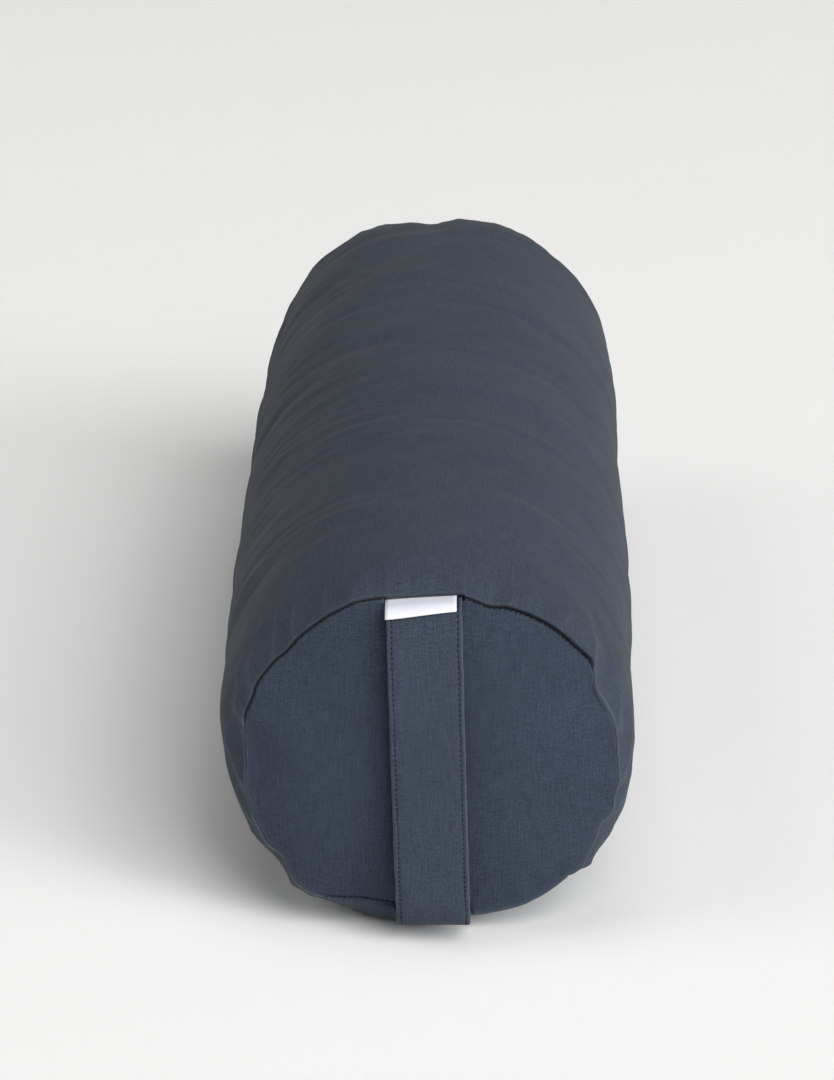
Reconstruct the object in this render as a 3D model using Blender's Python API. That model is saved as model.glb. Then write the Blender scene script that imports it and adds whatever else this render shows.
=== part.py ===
# A round yoga bolster: a cotton twill cover with a lengthwise zip and a carry handle
# sewn over its front end, round a closed inner bag that holds the filling.
# Metres, +Z up. The bolster lies along Y on Z = 0 and its handle end faces -Y.

import math
from collections import namedtuple

import bmesh
import bpy
import numpy as np
from mathutils import Matrix, Vector

# Bolster
BODY_WIDTH = 0.230
BODY_HEIGHT = 0.216
SEAM_TO_SEAM = 0.620
SEAM_INSET = 0.013  # from each side of the body in to an end seam
SEAM_DROP = 0.0125  # from the top of the body down to an end seam
FLOOR_SINK = 0.007  # how far the round underside is pressed flat
SHOULDER_LENGTH = 0.184  # from an end seam to where the body is at its full width
SHOULDER_POWER = 3.2  # over 2 draws the body in late and tightly
END_BULGE = 0.014
DOME_POWER = 2.4
COVER_WALL = 0.0012
SEAM_ALLOWANCE = 0.006
PUCKER_DEPTH = 0.0008
PUCKER_REACH = 0.030  # from the end seam
LINER_WALL = 0.0008
LINER_ALLOWANCE = 0.003
CLEARANCE = 0.0003  # between pieces that touch

# Carry handle and label
HANDLE_WIDTH = 0.040
HANDLE_THICKNESS = 0.0024
HANDLE_REACH = 0.026  # from the front seam to the outer face of the strap
HANDLE_LEAD = 0.005  # the strap leaves each seam straight, so far
HANDLE_SHIFT = 0.0016  # its middle lies so far to the right
HANDLE_LEAN = 0.0055  # and its foot so far right of its top
HANDLE_ARCH_POWER = 2.6
HANDLE_EDGE_ROUND = 0.0008
LABEL_WIDTH = 0.038
LABEL_THICKNESS = 0.0008
LABEL_DROP = 0.014  # what shows of it, along the strap

# Zip, in its own frame: X across it, Y along it, Z out of the cover
ZIP_LENGTH = 0.420  # of the two rows of teeth
ZIP_PITCH = 0.003
TOOTH_WIDTH = 0.0011
TOOTH_OVERLAP = 0.0010  # past the middle of the zip
ROW_INNER = 0.00135
ROW_OUTER = 0.0034
ROW_HEIGHT = 0.0016
TAPE_INNER = 0.0013
TAPE_OUTER = 0.0130
TAPE_THICKNESS = 0.0006
TAPE_TAIL = 0.010  # past the stops
SLOT_WIDTH = 0.0125
SLOT_MARGIN = 0.003
SLOT_END_ROUND = 0.9  # share of half its width
STOP_LENGTH = 0.0026
STOP_PLATE = 0.0005
SLIDER_LENGTH = 0.013
SLIDER_TAIL_WIDTH = 0.0098
SLIDER_WIDTH = 0.0116
SLIDER_WING = 0.0009
SLIDER_POST_WIDTH = 0.0020
SLIDER_POST_LENGTH = 0.0042
SLIDER_FIT = 0.00025
BRIDGE_WIDTH = 0.0022
BRIDGE_LENGTH = 0.0052
BRIDGE_BAR = 0.0009
BRIDGE_LEG = 0.0013
PULL_LENGTH = 0.021
PULL_NECK_WIDTH = 0.0066
PULL_END_WIDTH = 0.0078
PULL_THICKNESS = 0.0010
PULL_EYE_WIDTH = 0.0038
PULL_EYE_LENGTH = 0.0031
PULL_HOLE_RADIUS = 0.0011
TOOTH_GAP = 0.00015  # between the rows of teeth and the tape under them

# Facets
COLUMNS = 40  # round the bolster
ZIP_COLUMN = 35  # -45 degrees: low on the right side
RING_SHARES = (0.0, 0.033, 0.11, 0.27, 0.5, 1.0)  # rings of the body along each shoulder
COVER_RINGS = (0.35, 0.6, 0.8, 0.92)  # rings of an end dome, as shares of its radius
LINER_RINGS = (0.5, 0.85)

COVER_DEPTHS = [share * SHOULDER_LENGTH for share in RING_SHARES]
HALF_WIDTH = BODY_WIDTH / 2
AXIS_HEIGHT = BODY_HEIGHT / 2
LOWER_HALF = AXIS_HEIGHT + FLOOR_SINK  # of the round body, before it is pressed flat
SEAM_WIDTH = BODY_WIDTH - 2 * SEAM_INSET
SEAM_HEIGHT = BODY_HEIGHT - 2 * SEAM_DROP
BODY_LENGTH = HANDLE_REACH + SEAM_TO_SEAM + END_BULGE
FRONT_SEAM_Y = HANDLE_REACH - BODY_LENGTH / 2
REAR_SEAM_Y = FRONT_SEAM_Y + SEAM_TO_SEAM
MIDDLE_Y = (FRONT_SEAM_Y + REAR_SEAM_Y) / 2

ZIP_ANGLE = 2 * math.pi * ZIP_COLUMN / COLUMNS
ZIP_POINT = Vector((HALF_WIDTH * math.cos(ZIP_ANGLE), 0.0, LOWER_HALF * math.sin(ZIP_ANGLE)))
ZIP_OUT = Vector((ZIP_POINT.x / HALF_WIDTH**2, 0.0, ZIP_POINT.z / LOWER_HALF**2)).normalized()
ZIP_RADIUS = ZIP_POINT.dot(ZIP_OUT)
FLAT_HALF = TAPE_OUTER + 2 * CLEARANCE  # half the width of the cover's flat under the zip
FLAT_DROP = ZIP_RADIUS - math.sqrt(ZIP_RADIUS**2 - FLAT_HALF**2)

# Places along the zip, from its middle
ROWS_START = -ZIP_LENGTH / 2
ROWS_END = ZIP_LENGTH / 2
POST_END = SLIDER_LENGTH / 2 - SLIDER_WING / 2
SLIDER_Y = ROWS_END + CLEARANCE - (POST_END - SLIDER_POST_LENGTH)
TOP_STOP_Y = SLIDER_Y + SLIDER_LENGTH / 2 + CLEARANCE
STOPS_END = TOP_STOP_Y + STOP_LENGTH
STOPS_START = ROWS_START - CLEARANCE - STOP_LENGTH
TAPE_REACH = max(STOPS_END, -STOPS_START) + TAPE_TAIL


# One skin of the bolster: how far it lies inside the cover's face, its end seams,
# its domed ends, how much further in it is pressed flat behind the zip, and its gathers
Skin = namedtuple(
    "Skin", "inset seam_half_width seam_half_height seam_depth bulge zip_drop gathered"
)


def cover_skin():
    return Skin(0.0, SEAM_WIDTH / 2, SEAM_HEIGHT / 2, 0.0, END_BULGE, FLAT_DROP, True)


def inner_face(skin, wall):
    """The inside of a skin's wall; its seam turns inwards, so there it is a wall wider."""
    return skin._replace(
        inset=skin.inset + wall,
        seam_half_width=skin.seam_half_width + wall,
        seam_half_height=skin.seam_half_height + wall,
        seam_depth=skin.seam_depth + wall,
    )


def nested_skin(skin, wall, allowance, seam_inset, zip_drop):
    """What fits inside a skin's wall and behind its seam allowance."""
    gap = wall + CLEARANCE
    seam_depth = skin.seam_depth + allowance + CLEARANCE
    return Skin(
        inset=skin.inset + gap,
        seam_half_width=skin.seam_half_width - seam_inset,
        seam_half_height=skin.seam_half_height - seam_inset,
        seam_depth=seam_depth,
        bulge=skin.bulge + seam_depth - skin.seam_depth - gap,
        zip_drop=zip_drop,
        gathered=False,
    )


def handle_side(drop_share):
    """How far right the strap's middle line lies, from 0 at its top to 1 at its foot."""
    return HANDLE_SHIFT + HANDLE_LEAN * (drop_share - 0.5)


def handle_sagitta(drop_share):
    """How far the end seam falls from its middle to the further edge of the strap."""
    share = (HANDLE_WIDTH + 2 * abs(handle_side(drop_share))) / SEAM_WIDTH
    return SEAM_HEIGHT / 2 * (1 - math.sqrt(1 - share**2))


def drawn_out(depth):
    """0 at an end seam and 1 where the body has its full width."""
    left = max(0.0, 1 - depth / SHOULDER_LENGTH)
    return (1 - left**SHOULDER_POWER) ** (1 / SHOULDER_POWER)


def cover_radii(angle, depth):
    """The cover's face across its axis, before it is pressed flat: X and Z from the axis."""
    out = drawn_out(depth)
    full_height = AXIS_HEIGHT if math.sin(angle) > 0 else LOWER_HALF
    half_width = SEAM_WIDTH / 2 + (HALF_WIDTH - SEAM_WIDTH / 2) * out
    half_height = SEAM_HEIGHT / 2 + (full_height - SEAM_HEIGHT / 2) * out
    return Vector((half_width * math.cos(angle), 0.0, half_height * math.sin(angle)))


def section(skin, column, depth):
    """A point of a skin's body across its axis, so deep behind the cover's end seam."""
    point = cover_radii(2 * math.pi * column / COLUMNS, depth)
    stands_out = skin.gathered and column % 2
    pucker = pucker_at(depth) * (1 if stands_out else -1)
    point *= 1 + (pucker - skin.inset) / point.length
    at_zip = cover_radii(ZIP_ANGLE, depth).dot(ZIP_OUT) - skin.inset
    over = point.dot(ZIP_OUT) - (at_zip - skin.zip_drop * drawn_out(depth))
    if over > 0:
        point -= over * ZIP_OUT
    return point.x, max(AXIS_HEIGHT + point.z, skin.inset)


def pucker_at(depth):
    """The gathers stand out most between the seam and the end of their reach."""
    along = depth / PUCKER_REACH
    return PUCKER_DEPTH * math.sin(math.pi * along) if along < 1 else 0.0


def cover_fall(from_middle):
    """How far the cover's face at the zip lies below its middle, so far along it."""
    falls = []
    for depth in COVER_DEPTHS:
        x, z = section(cover_skin(), ZIP_COLUMN, depth)
        falls.append(ZIP_RADIUS - FLAT_DROP - Vector((x, 0, z - AXIS_HEIGHT)).dot(ZIP_OUT))
    return float(np.interp(SEAM_TO_SEAM / 2 - from_middle, COVER_DEPTHS, falls))


def cover_side_fall(across):
    """How far the cover's face falls away beside the zip, where its facets turn."""
    step = 2 * math.pi / COLUMNS
    fall = ZIP_RADIUS * (1 - math.cos(step)) - FLAT_DROP
    return max(0.0, fall) * across / (ZIP_RADIUS * math.sin(step))


def body_rings(skin, end):
    """Rings from an end seam to the middle; end is -1 at the front and 1 at the rear."""
    seam_y = FRONT_SEAM_Y if end < 0 else REAR_SEAM_Y
    rings = [seam_ring(skin, end, 0, skin.seam_depth)]
    for depth in COVER_DEPTHS[1:]:
        if depth > skin.seam_depth + 2 * COVER_WALL:
            points = [section(skin, column, depth) for column in range(COLUMNS)]
            rings.append([Vector((x, seam_y - end * depth, z)) for x, z in points])
    return rings


def seam_ring(skin, end, inset, depth):
    """A ring round an end seam, so far in from it and so deep behind it."""
    seam_y = FRONT_SEAM_Y if end < 0 else REAR_SEAM_Y
    ring = []
    for column in range(COLUMNS):
        angle = 2 * math.pi * column / COLUMNS
        x = (skin.seam_half_width - inset) * math.cos(angle)
        z = (skin.seam_half_height - inset) * math.sin(angle)
        ring.append(Vector((x, seam_y - end * depth, AXIS_HEIGHT + z)))
    return ring


def dome_ring(skin, end, radius_share, rim_gap, wall=0.0):
    """A ring of an end dome, a gap inside its seam and a wall further in; share 0 is its middle."""
    rise = (skin.bulge - wall) * (1 - radius_share**DOME_POWER) ** (1 / DOME_POWER)
    half_width = skin.seam_half_width - rim_gap - wall
    half_height = skin.seam_half_height - rim_gap - wall
    seam_y = FRONT_SEAM_Y if end < 0 else REAR_SEAM_Y
    y = seam_y - end * (skin.seam_depth - rise)
    if radius_share == 0:
        return [Vector((0, y, AXIS_HEIGHT))]
    ring = []
    for column in range(COLUMNS):
        angle = 2 * math.pi * column / COLUMNS
        x = radius_share * half_width * math.cos(angle)
        z = radius_share * half_height * math.sin(angle)
        ring.append(Vector((x, y, AXIS_HEIGHT + z)))
    return ring


def convex_split(corners):
    """A four-sided face as two triangles, split so that it bulges away from the axis."""
    if len(corners) < 4:
        return [corners]
    a, b, c, d = corners

    def reach(first, second):
        middle = (first.co + second.co) / 2
        return math.hypot(middle.x, middle.z - AXIS_HEIGHT)

    if reach(a, c) > reach(b, d):
        return [[a, b, c], [a, c, d]]
    return [[a, b, d], [b, c, d]]


def loft(name, rings, material, closed=False):
    """Joins rings of points side by side; a ring of one point closes an end."""
    bm = bmesh.new()
    loops = [[bm.verts.new(point) for point in ring] for ring in rings]
    if closed:
        loops.append(loops[0])
    for first, second in zip(loops, loops[1:]):
        count = max(len(first), len(second))
        for i in range(count):
            j = (i + 1) % count
            corners = [first[i % len(first)], first[j % len(first)]]
            corners += [second[j % len(second)], second[i % len(second)]]
            corners = list(dict.fromkeys(corners))
            for face in convex_split(corners):
                bm.faces.new(face)
    bmesh.ops.recalc_face_normals(bm, faces=bm.faces)
    return add_object(name, bm, material, smooth=True)


def prism_mesh(outline, low, high):
    """A flat outline, pulled up along Z."""
    bm = bmesh.new()
    face = bm.faces.new([bm.verts.new((x, y, low)) for x, y in outline])
    pulled = bmesh.ops.extrude_face_region(bm, geom=[face])
    moved = [v for v in pulled["geom"] if isinstance(v, bmesh.types.BMVert)]
    bmesh.ops.translate(bm, verts=moved, vec=(0, 0, high - low))
    bmesh.ops.recalc_face_normals(bm, faces=bm.faces)
    return bm


def box_outline(x_low, x_high, y_low, y_high):
    return [(x_low, y_low), (x_high, y_low), (x_high, y_high), (x_low, y_high)]


def rounded(outline, radius, steps=3):
    """An outline with each corner as an arc."""
    points = []
    for i, corner in enumerate(outline):
        corner = Vector(corner)
        to_last = (Vector(outline[i - 1]) - corner).normalized()
        to_next = (Vector(outline[(i + 1) % len(outline)]) - corner).normalized()
        half = math.acos(max(-1.0, min(1.0, to_last.dot(to_next)))) / 2
        centre = corner + (to_last + to_next).normalized() * radius / math.sin(half)
        start = corner + to_last * radius / math.tan(half) - centre
        end = corner + to_next * radius / math.tan(half) - centre
        turn = start.angle_signed(end)
        for step in range(steps + 1):
            arm = start.copy()
            arm.rotate(Matrix.Rotation(-turn * step / steps, 2))
            points.append(tuple(centre + arm))
    return points


def add_object(name, bm, material, smooth=False):
    mesh = bpy.data.meshes.new(name)
    bm.to_mesh(mesh)
    bm.free()
    piece = bpy.data.objects.new(name, mesh)
    bpy.context.scene.collection.objects.link(piece)
    if material:
        mesh.materials.append(material)
    if smooth:
        mesh.shade_smooth()
        mesh.set_sharp_from_angle(angle=math.radians(40))
    return piece


def add_cutter(name, bm, parent=None):
    cutter = add_object(name, bm, None)
    cutter.hide_render = True
    cutter.display_type = "WIRE"
    cutter.parent = parent
    return cutter


def add_boolean(piece, other, operation):
    modifier = piece.modifiers.new(other.name, "BOOLEAN")
    modifier.operation = operation
    modifier.object = other


def add_material(name, colour, roughness, metallic=0.0):
    material = bpy.data.materials.new(name)
    material.use_nodes = True
    shader = material.node_tree.nodes["Principled BSDF"]
    shader.inputs["Base Color"].default_value = (*colour, 1.0)
    shader.inputs["Roughness"].default_value = roughness
    shader.inputs["Metallic"].default_value = metallic
    return material


# Soft shells and their filling


def sewn_tube(name, skin, wall, allowance, material):
    """The body panel: its two ends turn inwards as seam allowances."""
    face, back = skin, inner_face(skin, wall)
    tip = skin.seam_depth + allowance
    rings = body_rings(face, -1) + body_rings(face, 1)[::-1]
    rings += [seam_ring(face, 1, 0, tip), seam_ring(face, 1, -wall, tip)]
    rings += body_rings(back, 1) + body_rings(back, -1)[::-1]
    rings += [seam_ring(face, -1, -wall, tip), seam_ring(face, -1, 0, tip)]
    return loft(name, rings, material, closed=True)


def sewn_end(name, skin, end, wall, allowance, shares, material):
    """A round end panel, domed by the filling, with its edge turned in as an allowance."""
    outside = [dome_ring(skin, end, share, CLEARANCE) for share in (0, *shares, 1)]
    inside = [
        dome_ring(skin, end, share, CLEARANCE, wall) for share in (1, *shares[::-1], 0)
    ]
    tip = skin.seam_depth + allowance
    turned = [
        seam_ring(skin, end, CLEARANCE, tip),
        seam_ring(skin, end, CLEARANCE + wall, tip),
    ]
    return loft(name, outside + turned + inside, material)


def filled_core(name, skin, shares, material):
    """The filling: one solid with the inner bag's shape."""
    rings = [dome_ring(skin, -1, share, 0) for share in (0, *shares)]
    rings += body_rings(skin, -1) + body_rings(skin, 1)[::-1]
    rings += [dome_ring(skin, 1, share, 0) for share in (*shares[::-1], 0)]
    return loft(name, rings, material)


# Carry handle and label


def arch_path(top_z, bottom_z, steps=26):
    """The strap's middle line in Y and Z, from inside the top seam to inside the bottom one."""
    reach = HANDLE_REACH - HANDLE_THICKNESS / 2 - HANDLE_LEAD
    tuck = SEAM_ALLOWANCE - CLEARANCE
    middle, half = (top_z + bottom_z) / 2, (top_z - bottom_z) / 2
    power = 2 / HANDLE_ARCH_POWER
    path = [Vector((FRONT_SEAM_Y + tuck, top_z))]
    for step in range(steps + 1):
        angle = math.pi / 2 - math.pi * step / steps
        rise = math.copysign(abs(math.sin(angle)) ** power, angle)
        out = max(0.0, math.cos(angle)) ** power
        path.append(Vector((FRONT_SEAM_Y - HANDLE_LEAD - reach * out, middle + half * rise)))
    return path + [Vector((FRONT_SEAM_Y + tuck, bottom_z))]


def path_normals(path):
    """Unit vectors square to a path in Y and Z, on the side away from the bolster."""
    normals = []
    for i in range(len(path)):
        along = path[min(i + 1, len(path) - 1)] - path[max(i - 1, 0)]
        normals.append(Vector((along.y, -along.x)).normalized())
    return normals


def shifted(path, distance):
    return [point + normal * distance for point, normal in zip(path, path_normals(path))]


def start_of(path, length):
    """The first stretch of a path, cut at a length."""
    kept, run = [path[0]], 0.0
    for last, point in zip(path, path[1:]):
        step = (point - last).length
        if run + step >= length:
            kept.append(last + (point - last) * (length - run) / step)
            return kept
        kept.append(point)
        run += step
    return kept


def strip(name, path, sides, width, thickness, edge_round, material):
    """A flat strap along a path in Y and Z, so far to the right, its long edges rounded."""
    half, thin = width / 2, thickness / 2
    corners = rounded(box_outline(-half, half, -thin, thin), edge_round, steps=1)
    rings = []
    for point, normal, side in zip(path, path_normals(path), sides):
        ring = []
        for x, out in corners:
            place = point + normal * out
            ring.append(Vector((side + x, place.x, place.y)))
        rings.append(ring)
    middle_start = [Vector((sides[0], path[0].x, path[0].y))]
    middle_end = [Vector((sides[-1], path[-1].x, path[-1].y))]
    return loft(name, [middle_start, *rings, middle_end], material)


def notch_cutter(name, side, z_low, z_high):
    half = HANDLE_WIDTH / 2 + CLEARANCE
    y_low, y_high = FRONT_SEAM_Y - END_BULGE, FRONT_SEAM_Y + 2 * SEAM_ALLOWANCE
    outline = box_outline(side - half, side + half, y_low, y_high)
    return add_cutter(name, prism_mesh(outline, z_low, z_high))


def add_handle(panel, twill, tape):
    """The strap and the label go into the seam between the body and the end panel."""
    seam_top = AXIS_HEIGHT + SEAM_HEIGHT / 2 - handle_sagitta(0) - CLEARANCE
    seam_foot = AXIS_HEIGHT - SEAM_HEIGHT / 2 + handle_sagitta(1) + CLEARANCE
    label_z = seam_top - LABEL_THICKNESS / 2
    top_z = label_z - (LABEL_THICKNESS + HANDLE_THICKNESS) / 2 - CLEARANCE
    bottom_z = seam_foot + HANDLE_THICKNESS / 2
    path = arch_path(top_z, bottom_z)
    sides = [handle_side((top_z - point.y) / (top_z - bottom_z)) for point in path]
    edges = HANDLE_THICKNESS, HANDLE_EDGE_ROUND
    strip("carry_handle", path, sides, HANDLE_WIDTH, *edges, twill)

    label_path = shifted(path, label_z - top_z)
    label_length = SEAM_ALLOWANCE + LABEL_DROP
    label_path = start_of(label_path, label_length)
    edges = LABEL_THICKNESS, LABEL_THICKNESS / 4
    strip("seam_label", label_path, sides, LABEL_WIDTH, *edges, tape)

    under_strap = HANDLE_THICKNESS / 2 + CLEARANCE
    top_cut = notch_cutter(
        "top_notch_cutter", handle_side(0), top_z - under_strap, BODY_HEIGHT
    )
    bottom_cut = notch_cutter("bottom_notch_cutter", handle_side(1), 0.0, bottom_z + under_strap)
    add_boolean(panel, top_cut, "DIFFERENCE")
    add_boolean(panel, bottom_cut, "DIFFERENCE")


# Levels through the zip: the tapes lie under the cover all along

TAPE_TOP = -COVER_WALL - CLEARANCE - cover_fall(TAPE_REACH) - cover_side_fall(TAPE_OUTER)
TAPE_FLOOR = TAPE_TOP - TAPE_THICKNESS
ROW_FLOOR = TAPE_TOP + TOOTH_GAP
ROW_TOP = ROW_FLOOR + ROW_HEIGHT
CHANNEL_FLOOR = TAPE_FLOOR - SLIDER_FIT
CHANNEL_TOP = ROW_TOP + SLIDER_FIT
SLIDER_FLOOR = CHANNEL_FLOOR - SLIDER_WING
SLIDER_TOP = CHANNEL_TOP + SLIDER_WING
PULL_AXIS = SLIDER_TOP + CLEARANCE + math.hypot(PULL_THICKNESS / 2, PULL_THICKNESS / 2)


def tooth_row(name, side, parent, material):
    """A row of teeth, from the stop to the slider; the other side's lie half a pitch on."""
    first = ROWS_START + (ZIP_PITCH - TOOTH_WIDTH) / 2 + (ZIP_PITCH / 2 if side > 0 else 0)
    outer, inner = side * ROW_OUTER, side * ROW_INNER
    outline = [(outer, ROWS_END), (outer, ROWS_START), (inner, ROWS_START)]
    count = int((ROWS_END - first - TOOTH_WIDTH) / ZIP_PITCH) + 1
    for tooth in range(count):
        y = first + tooth * ZIP_PITCH
        outline.append((inner, y))
        outline.append((-side * TOOTH_OVERLAP, y))
        outline.append((-side * TOOTH_OVERLAP, y + TOOTH_WIDTH))
        outline.append((inner, y + TOOTH_WIDTH))
    outline.append((inner, ROWS_END))
    row = add_object(name, prism_mesh(outline, ROW_FLOOR, ROW_TOP), material)
    row.parent = parent


def zip_tape(name, side, parent, material):
    edges = sorted((side * TAPE_INNER, side * TAPE_OUTER))
    outline = box_outline(*edges, STOPS_START - TAPE_TAIL, STOPS_END + TAPE_TAIL)
    tape = add_object(name, prism_mesh(outline, TAPE_FLOOR, TAPE_TOP), material)
    tape.parent = parent


def clamp_outline(inner, outer):
    """A staple round a tape's inner edge, seen along the zip: X across, Y out."""
    slit_low, slit_high = TAPE_FLOOR - TOOTH_GAP, TAPE_TOP + TOOTH_GAP
    low, high = slit_low - STOP_PLATE, slit_high + 2 * STOP_PLATE
    neck = TAPE_INNER - TOOTH_GAP
    return [
        (inner, low), (outer, low), (outer, slit_low), (neck, slit_low),
        (neck, slit_high), (outer, slit_high), (outer, high), (inner, high),
    ]


def along_zip(outline, start_y, end_y):
    """A profile seen along the zip, pulled from one place to another."""
    bm = prism_mesh([(x, -out) for x, out in outline], start_y, end_y)
    bm.transform(Matrix.Rotation(math.radians(-90), 4, "X"))
    bmesh.ops.recalc_face_normals(bm, faces=bm.faces)
    return bm


def zip_stops(parent, material):
    half_clamp = clamp_outline(TAPE_INNER - TOOTH_GAP - STOP_PLATE, ROW_OUTER)
    for name, side in (("zip_top_stop_upper", -1), ("zip_top_stop_lower", 1)):
        profile = [(side * x, out) for x, out in half_clamp]
        stop = add_object(name, along_zip(profile, TOP_STOP_Y, STOPS_END), material)
        stop.parent = parent
    right = clamp_outline(0.0, ROW_OUTER)[1:-1]
    left = [(-x, out) for x, out in right[::-1]]
    bridge = along_zip(right + left, STOPS_START, STOPS_START + STOP_LENGTH)
    stop = add_object("zip_bottom_stop", bridge, material)
    stop.parent = parent


def add_slider(parent, metal):
    """Two wings joined by the post that parts the teeth, with a bridge for the pull."""
    tail, wide, nose = SLIDER_TAIL_WIDTH / 2, SLIDER_WIDTH / 2, SLIDER_LENGTH / 2
    outline = [
        (-tail, -nose), (tail, -nose), (wide, nose / 2), (tail, nose),
        (-tail, nose), (-wide, nose / 2),
    ]
    wings = prism_mesh(rounded(outline, tail / 4), SLIDER_FLOOR, SLIDER_TOP)
    slider = add_object("zip_slider", wings, metal)
    slider.location = (0, SLIDER_Y, 0)
    slider.parent = parent

    room = ROW_OUTER + SLIDER_FIT + TOOTH_GAP
    channel = prism_mesh(box_outline(-room, room, -2 * nose, 2 * nose), CHANNEL_FLOOR, CHANNEL_TOP)
    add_boolean(slider, add_cutter("slider_channel_cutter", channel, slider), "DIFFERENCE")
    slit_top = TAPE_TOP + SLIDER_FIT
    slit = prism_mesh(box_outline(-2 * wide, 2 * wide, -2 * nose, 2 * nose), CHANNEL_FLOOR, slit_top)
    add_boolean(slider, add_cutter("slider_slit_cutter", slit, slider), "DIFFERENCE")

    half_post = SLIDER_POST_WIDTH / 2
    post_start = POST_END - SLIDER_POST_LENGTH
    post_outline = [
        (0, post_start), (half_post, post_start + half_post), (half_post, POST_END),
        (-half_post, POST_END), (-half_post, post_start + half_post),
    ]
    inside_wing = SLIDER_WING / 2
    post = prism_mesh(post_outline, CHANNEL_FLOOR - inside_wing, CHANNEL_TOP + inside_wing)
    add_boolean(slider, add_cutter("slider_post_shape", post, slider), "UNION")

    opening = PULL_THICKNESS / 2 + 2 * CLEARANCE
    outer, inner = BRIDGE_LENGTH / 2, BRIDGE_LENGTH / 2 - BRIDGE_LEG
    foot, bar_low = SLIDER_TOP - inside_wing, PULL_AXIS + opening
    bar_top = bar_low + BRIDGE_BAR
    profile = [
        (-outer, foot), (-outer, bar_low), (-inner, bar_top), (inner, bar_top),
        (outer, bar_low), (outer, foot), (inner, foot), (inner, bar_low),
        (-inner, bar_low), (-inner, foot),
    ]
    bridge = prism_mesh(profile, -BRIDGE_WIDTH / 2, BRIDGE_WIDTH / 2)
    bridge.transform(Matrix(((0, 0, 1, 0), (1, 0, 0, 0), (0, 1, 0, 0), (0, 0, 0, 1))))
    add_boolean(slider, add_cutter("slider_bridge_shape", bridge, slider), "UNION")
    return slider


def add_pull(slider, metal):
    """A flat tab whose cross bar turns under the slider's bridge; its origin is that axis."""
    neck, end, bar = PULL_NECK_WIDTH / 2, PULL_END_WIDTH / 2, PULL_THICKNESS / 2
    outline = [(neck, bar), (-neck, bar), (-end, bar - PULL_LENGTH), (end, bar - PULL_LENGTH)]
    pull = add_object(
        "zip_pull", prism_mesh(rounded(outline[::-1], bar), -bar, bar), metal
    )
    pull.location = (0, 0, PULL_AXIS)
    pull.parent = slider
    eye = PULL_EYE_WIDTH / 2
    eye_outline = box_outline(-eye, eye, -bar - PULL_EYE_LENGTH, -bar)
    eye_cutter = add_cutter("pull_eye_cutter", prism_mesh(eye_outline, -2 * bar, 2 * bar), pull)
    add_boolean(pull, eye_cutter, "DIFFERENCE")
    hole = bmesh.new()
    bmesh.ops.create_cone(
        hole, cap_ends=True, segments=16, radius1=PULL_HOLE_RADIUS, radius2=PULL_HOLE_RADIUS,
        depth=4 * bar,
    )
    bmesh.ops.translate(hole, verts=hole.verts, vec=(0, -PULL_LENGTH + 3 * PULL_HOLE_RADIUS, 0))
    add_boolean(pull, add_cutter("pull_hole_cutter", hole, pull), "DIFFERENCE")


def add_zip(cover, tape_cloth, nylon, metal):
    """The zip lies on a straight line along the cover's flat, low on its right side."""
    across = Vector((0, 1, 0)).cross(ZIP_OUT)
    frame = bpy.data.objects.new("zip_frame", None)
    bpy.context.scene.collection.objects.link(frame)
    turned = Matrix((across, (0, 1, 0), ZIP_OUT)).transposed().to_4x4()
    surface = ZIP_RADIUS - FLAT_DROP
    along = ZIP_POINT - ZIP_RADIUS * ZIP_OUT
    place = Vector((0, MIDDLE_Y, AXIS_HEIGHT)) + along + surface * ZIP_OUT
    frame.matrix_world = Matrix.Translation(place) @ turned

    for edge, side in (("upper", -1), ("lower", 1)):
        tooth_row(f"zip_teeth_{edge}", side, frame, nylon)
        zip_tape(f"zip_tape_{edge}", side, frame, tape_cloth)
    zip_stops(frame, metal)
    slider = add_slider(frame, metal)
    add_pull(slider, metal)

    half = SLOT_WIDTH / 2
    slot = box_outline(-half, half, STOPS_START - SLOT_MARGIN, STOPS_END + SLOT_MARGIN)
    deep = COVER_WALL - TAPE_TOP
    cut = prism_mesh(rounded(slot, half * SLOT_END_ROUND), -deep, deep)
    add_boolean(cover, add_cutter("zip_slot_cutter", cut, frame), "DIFFERENCE")


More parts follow.
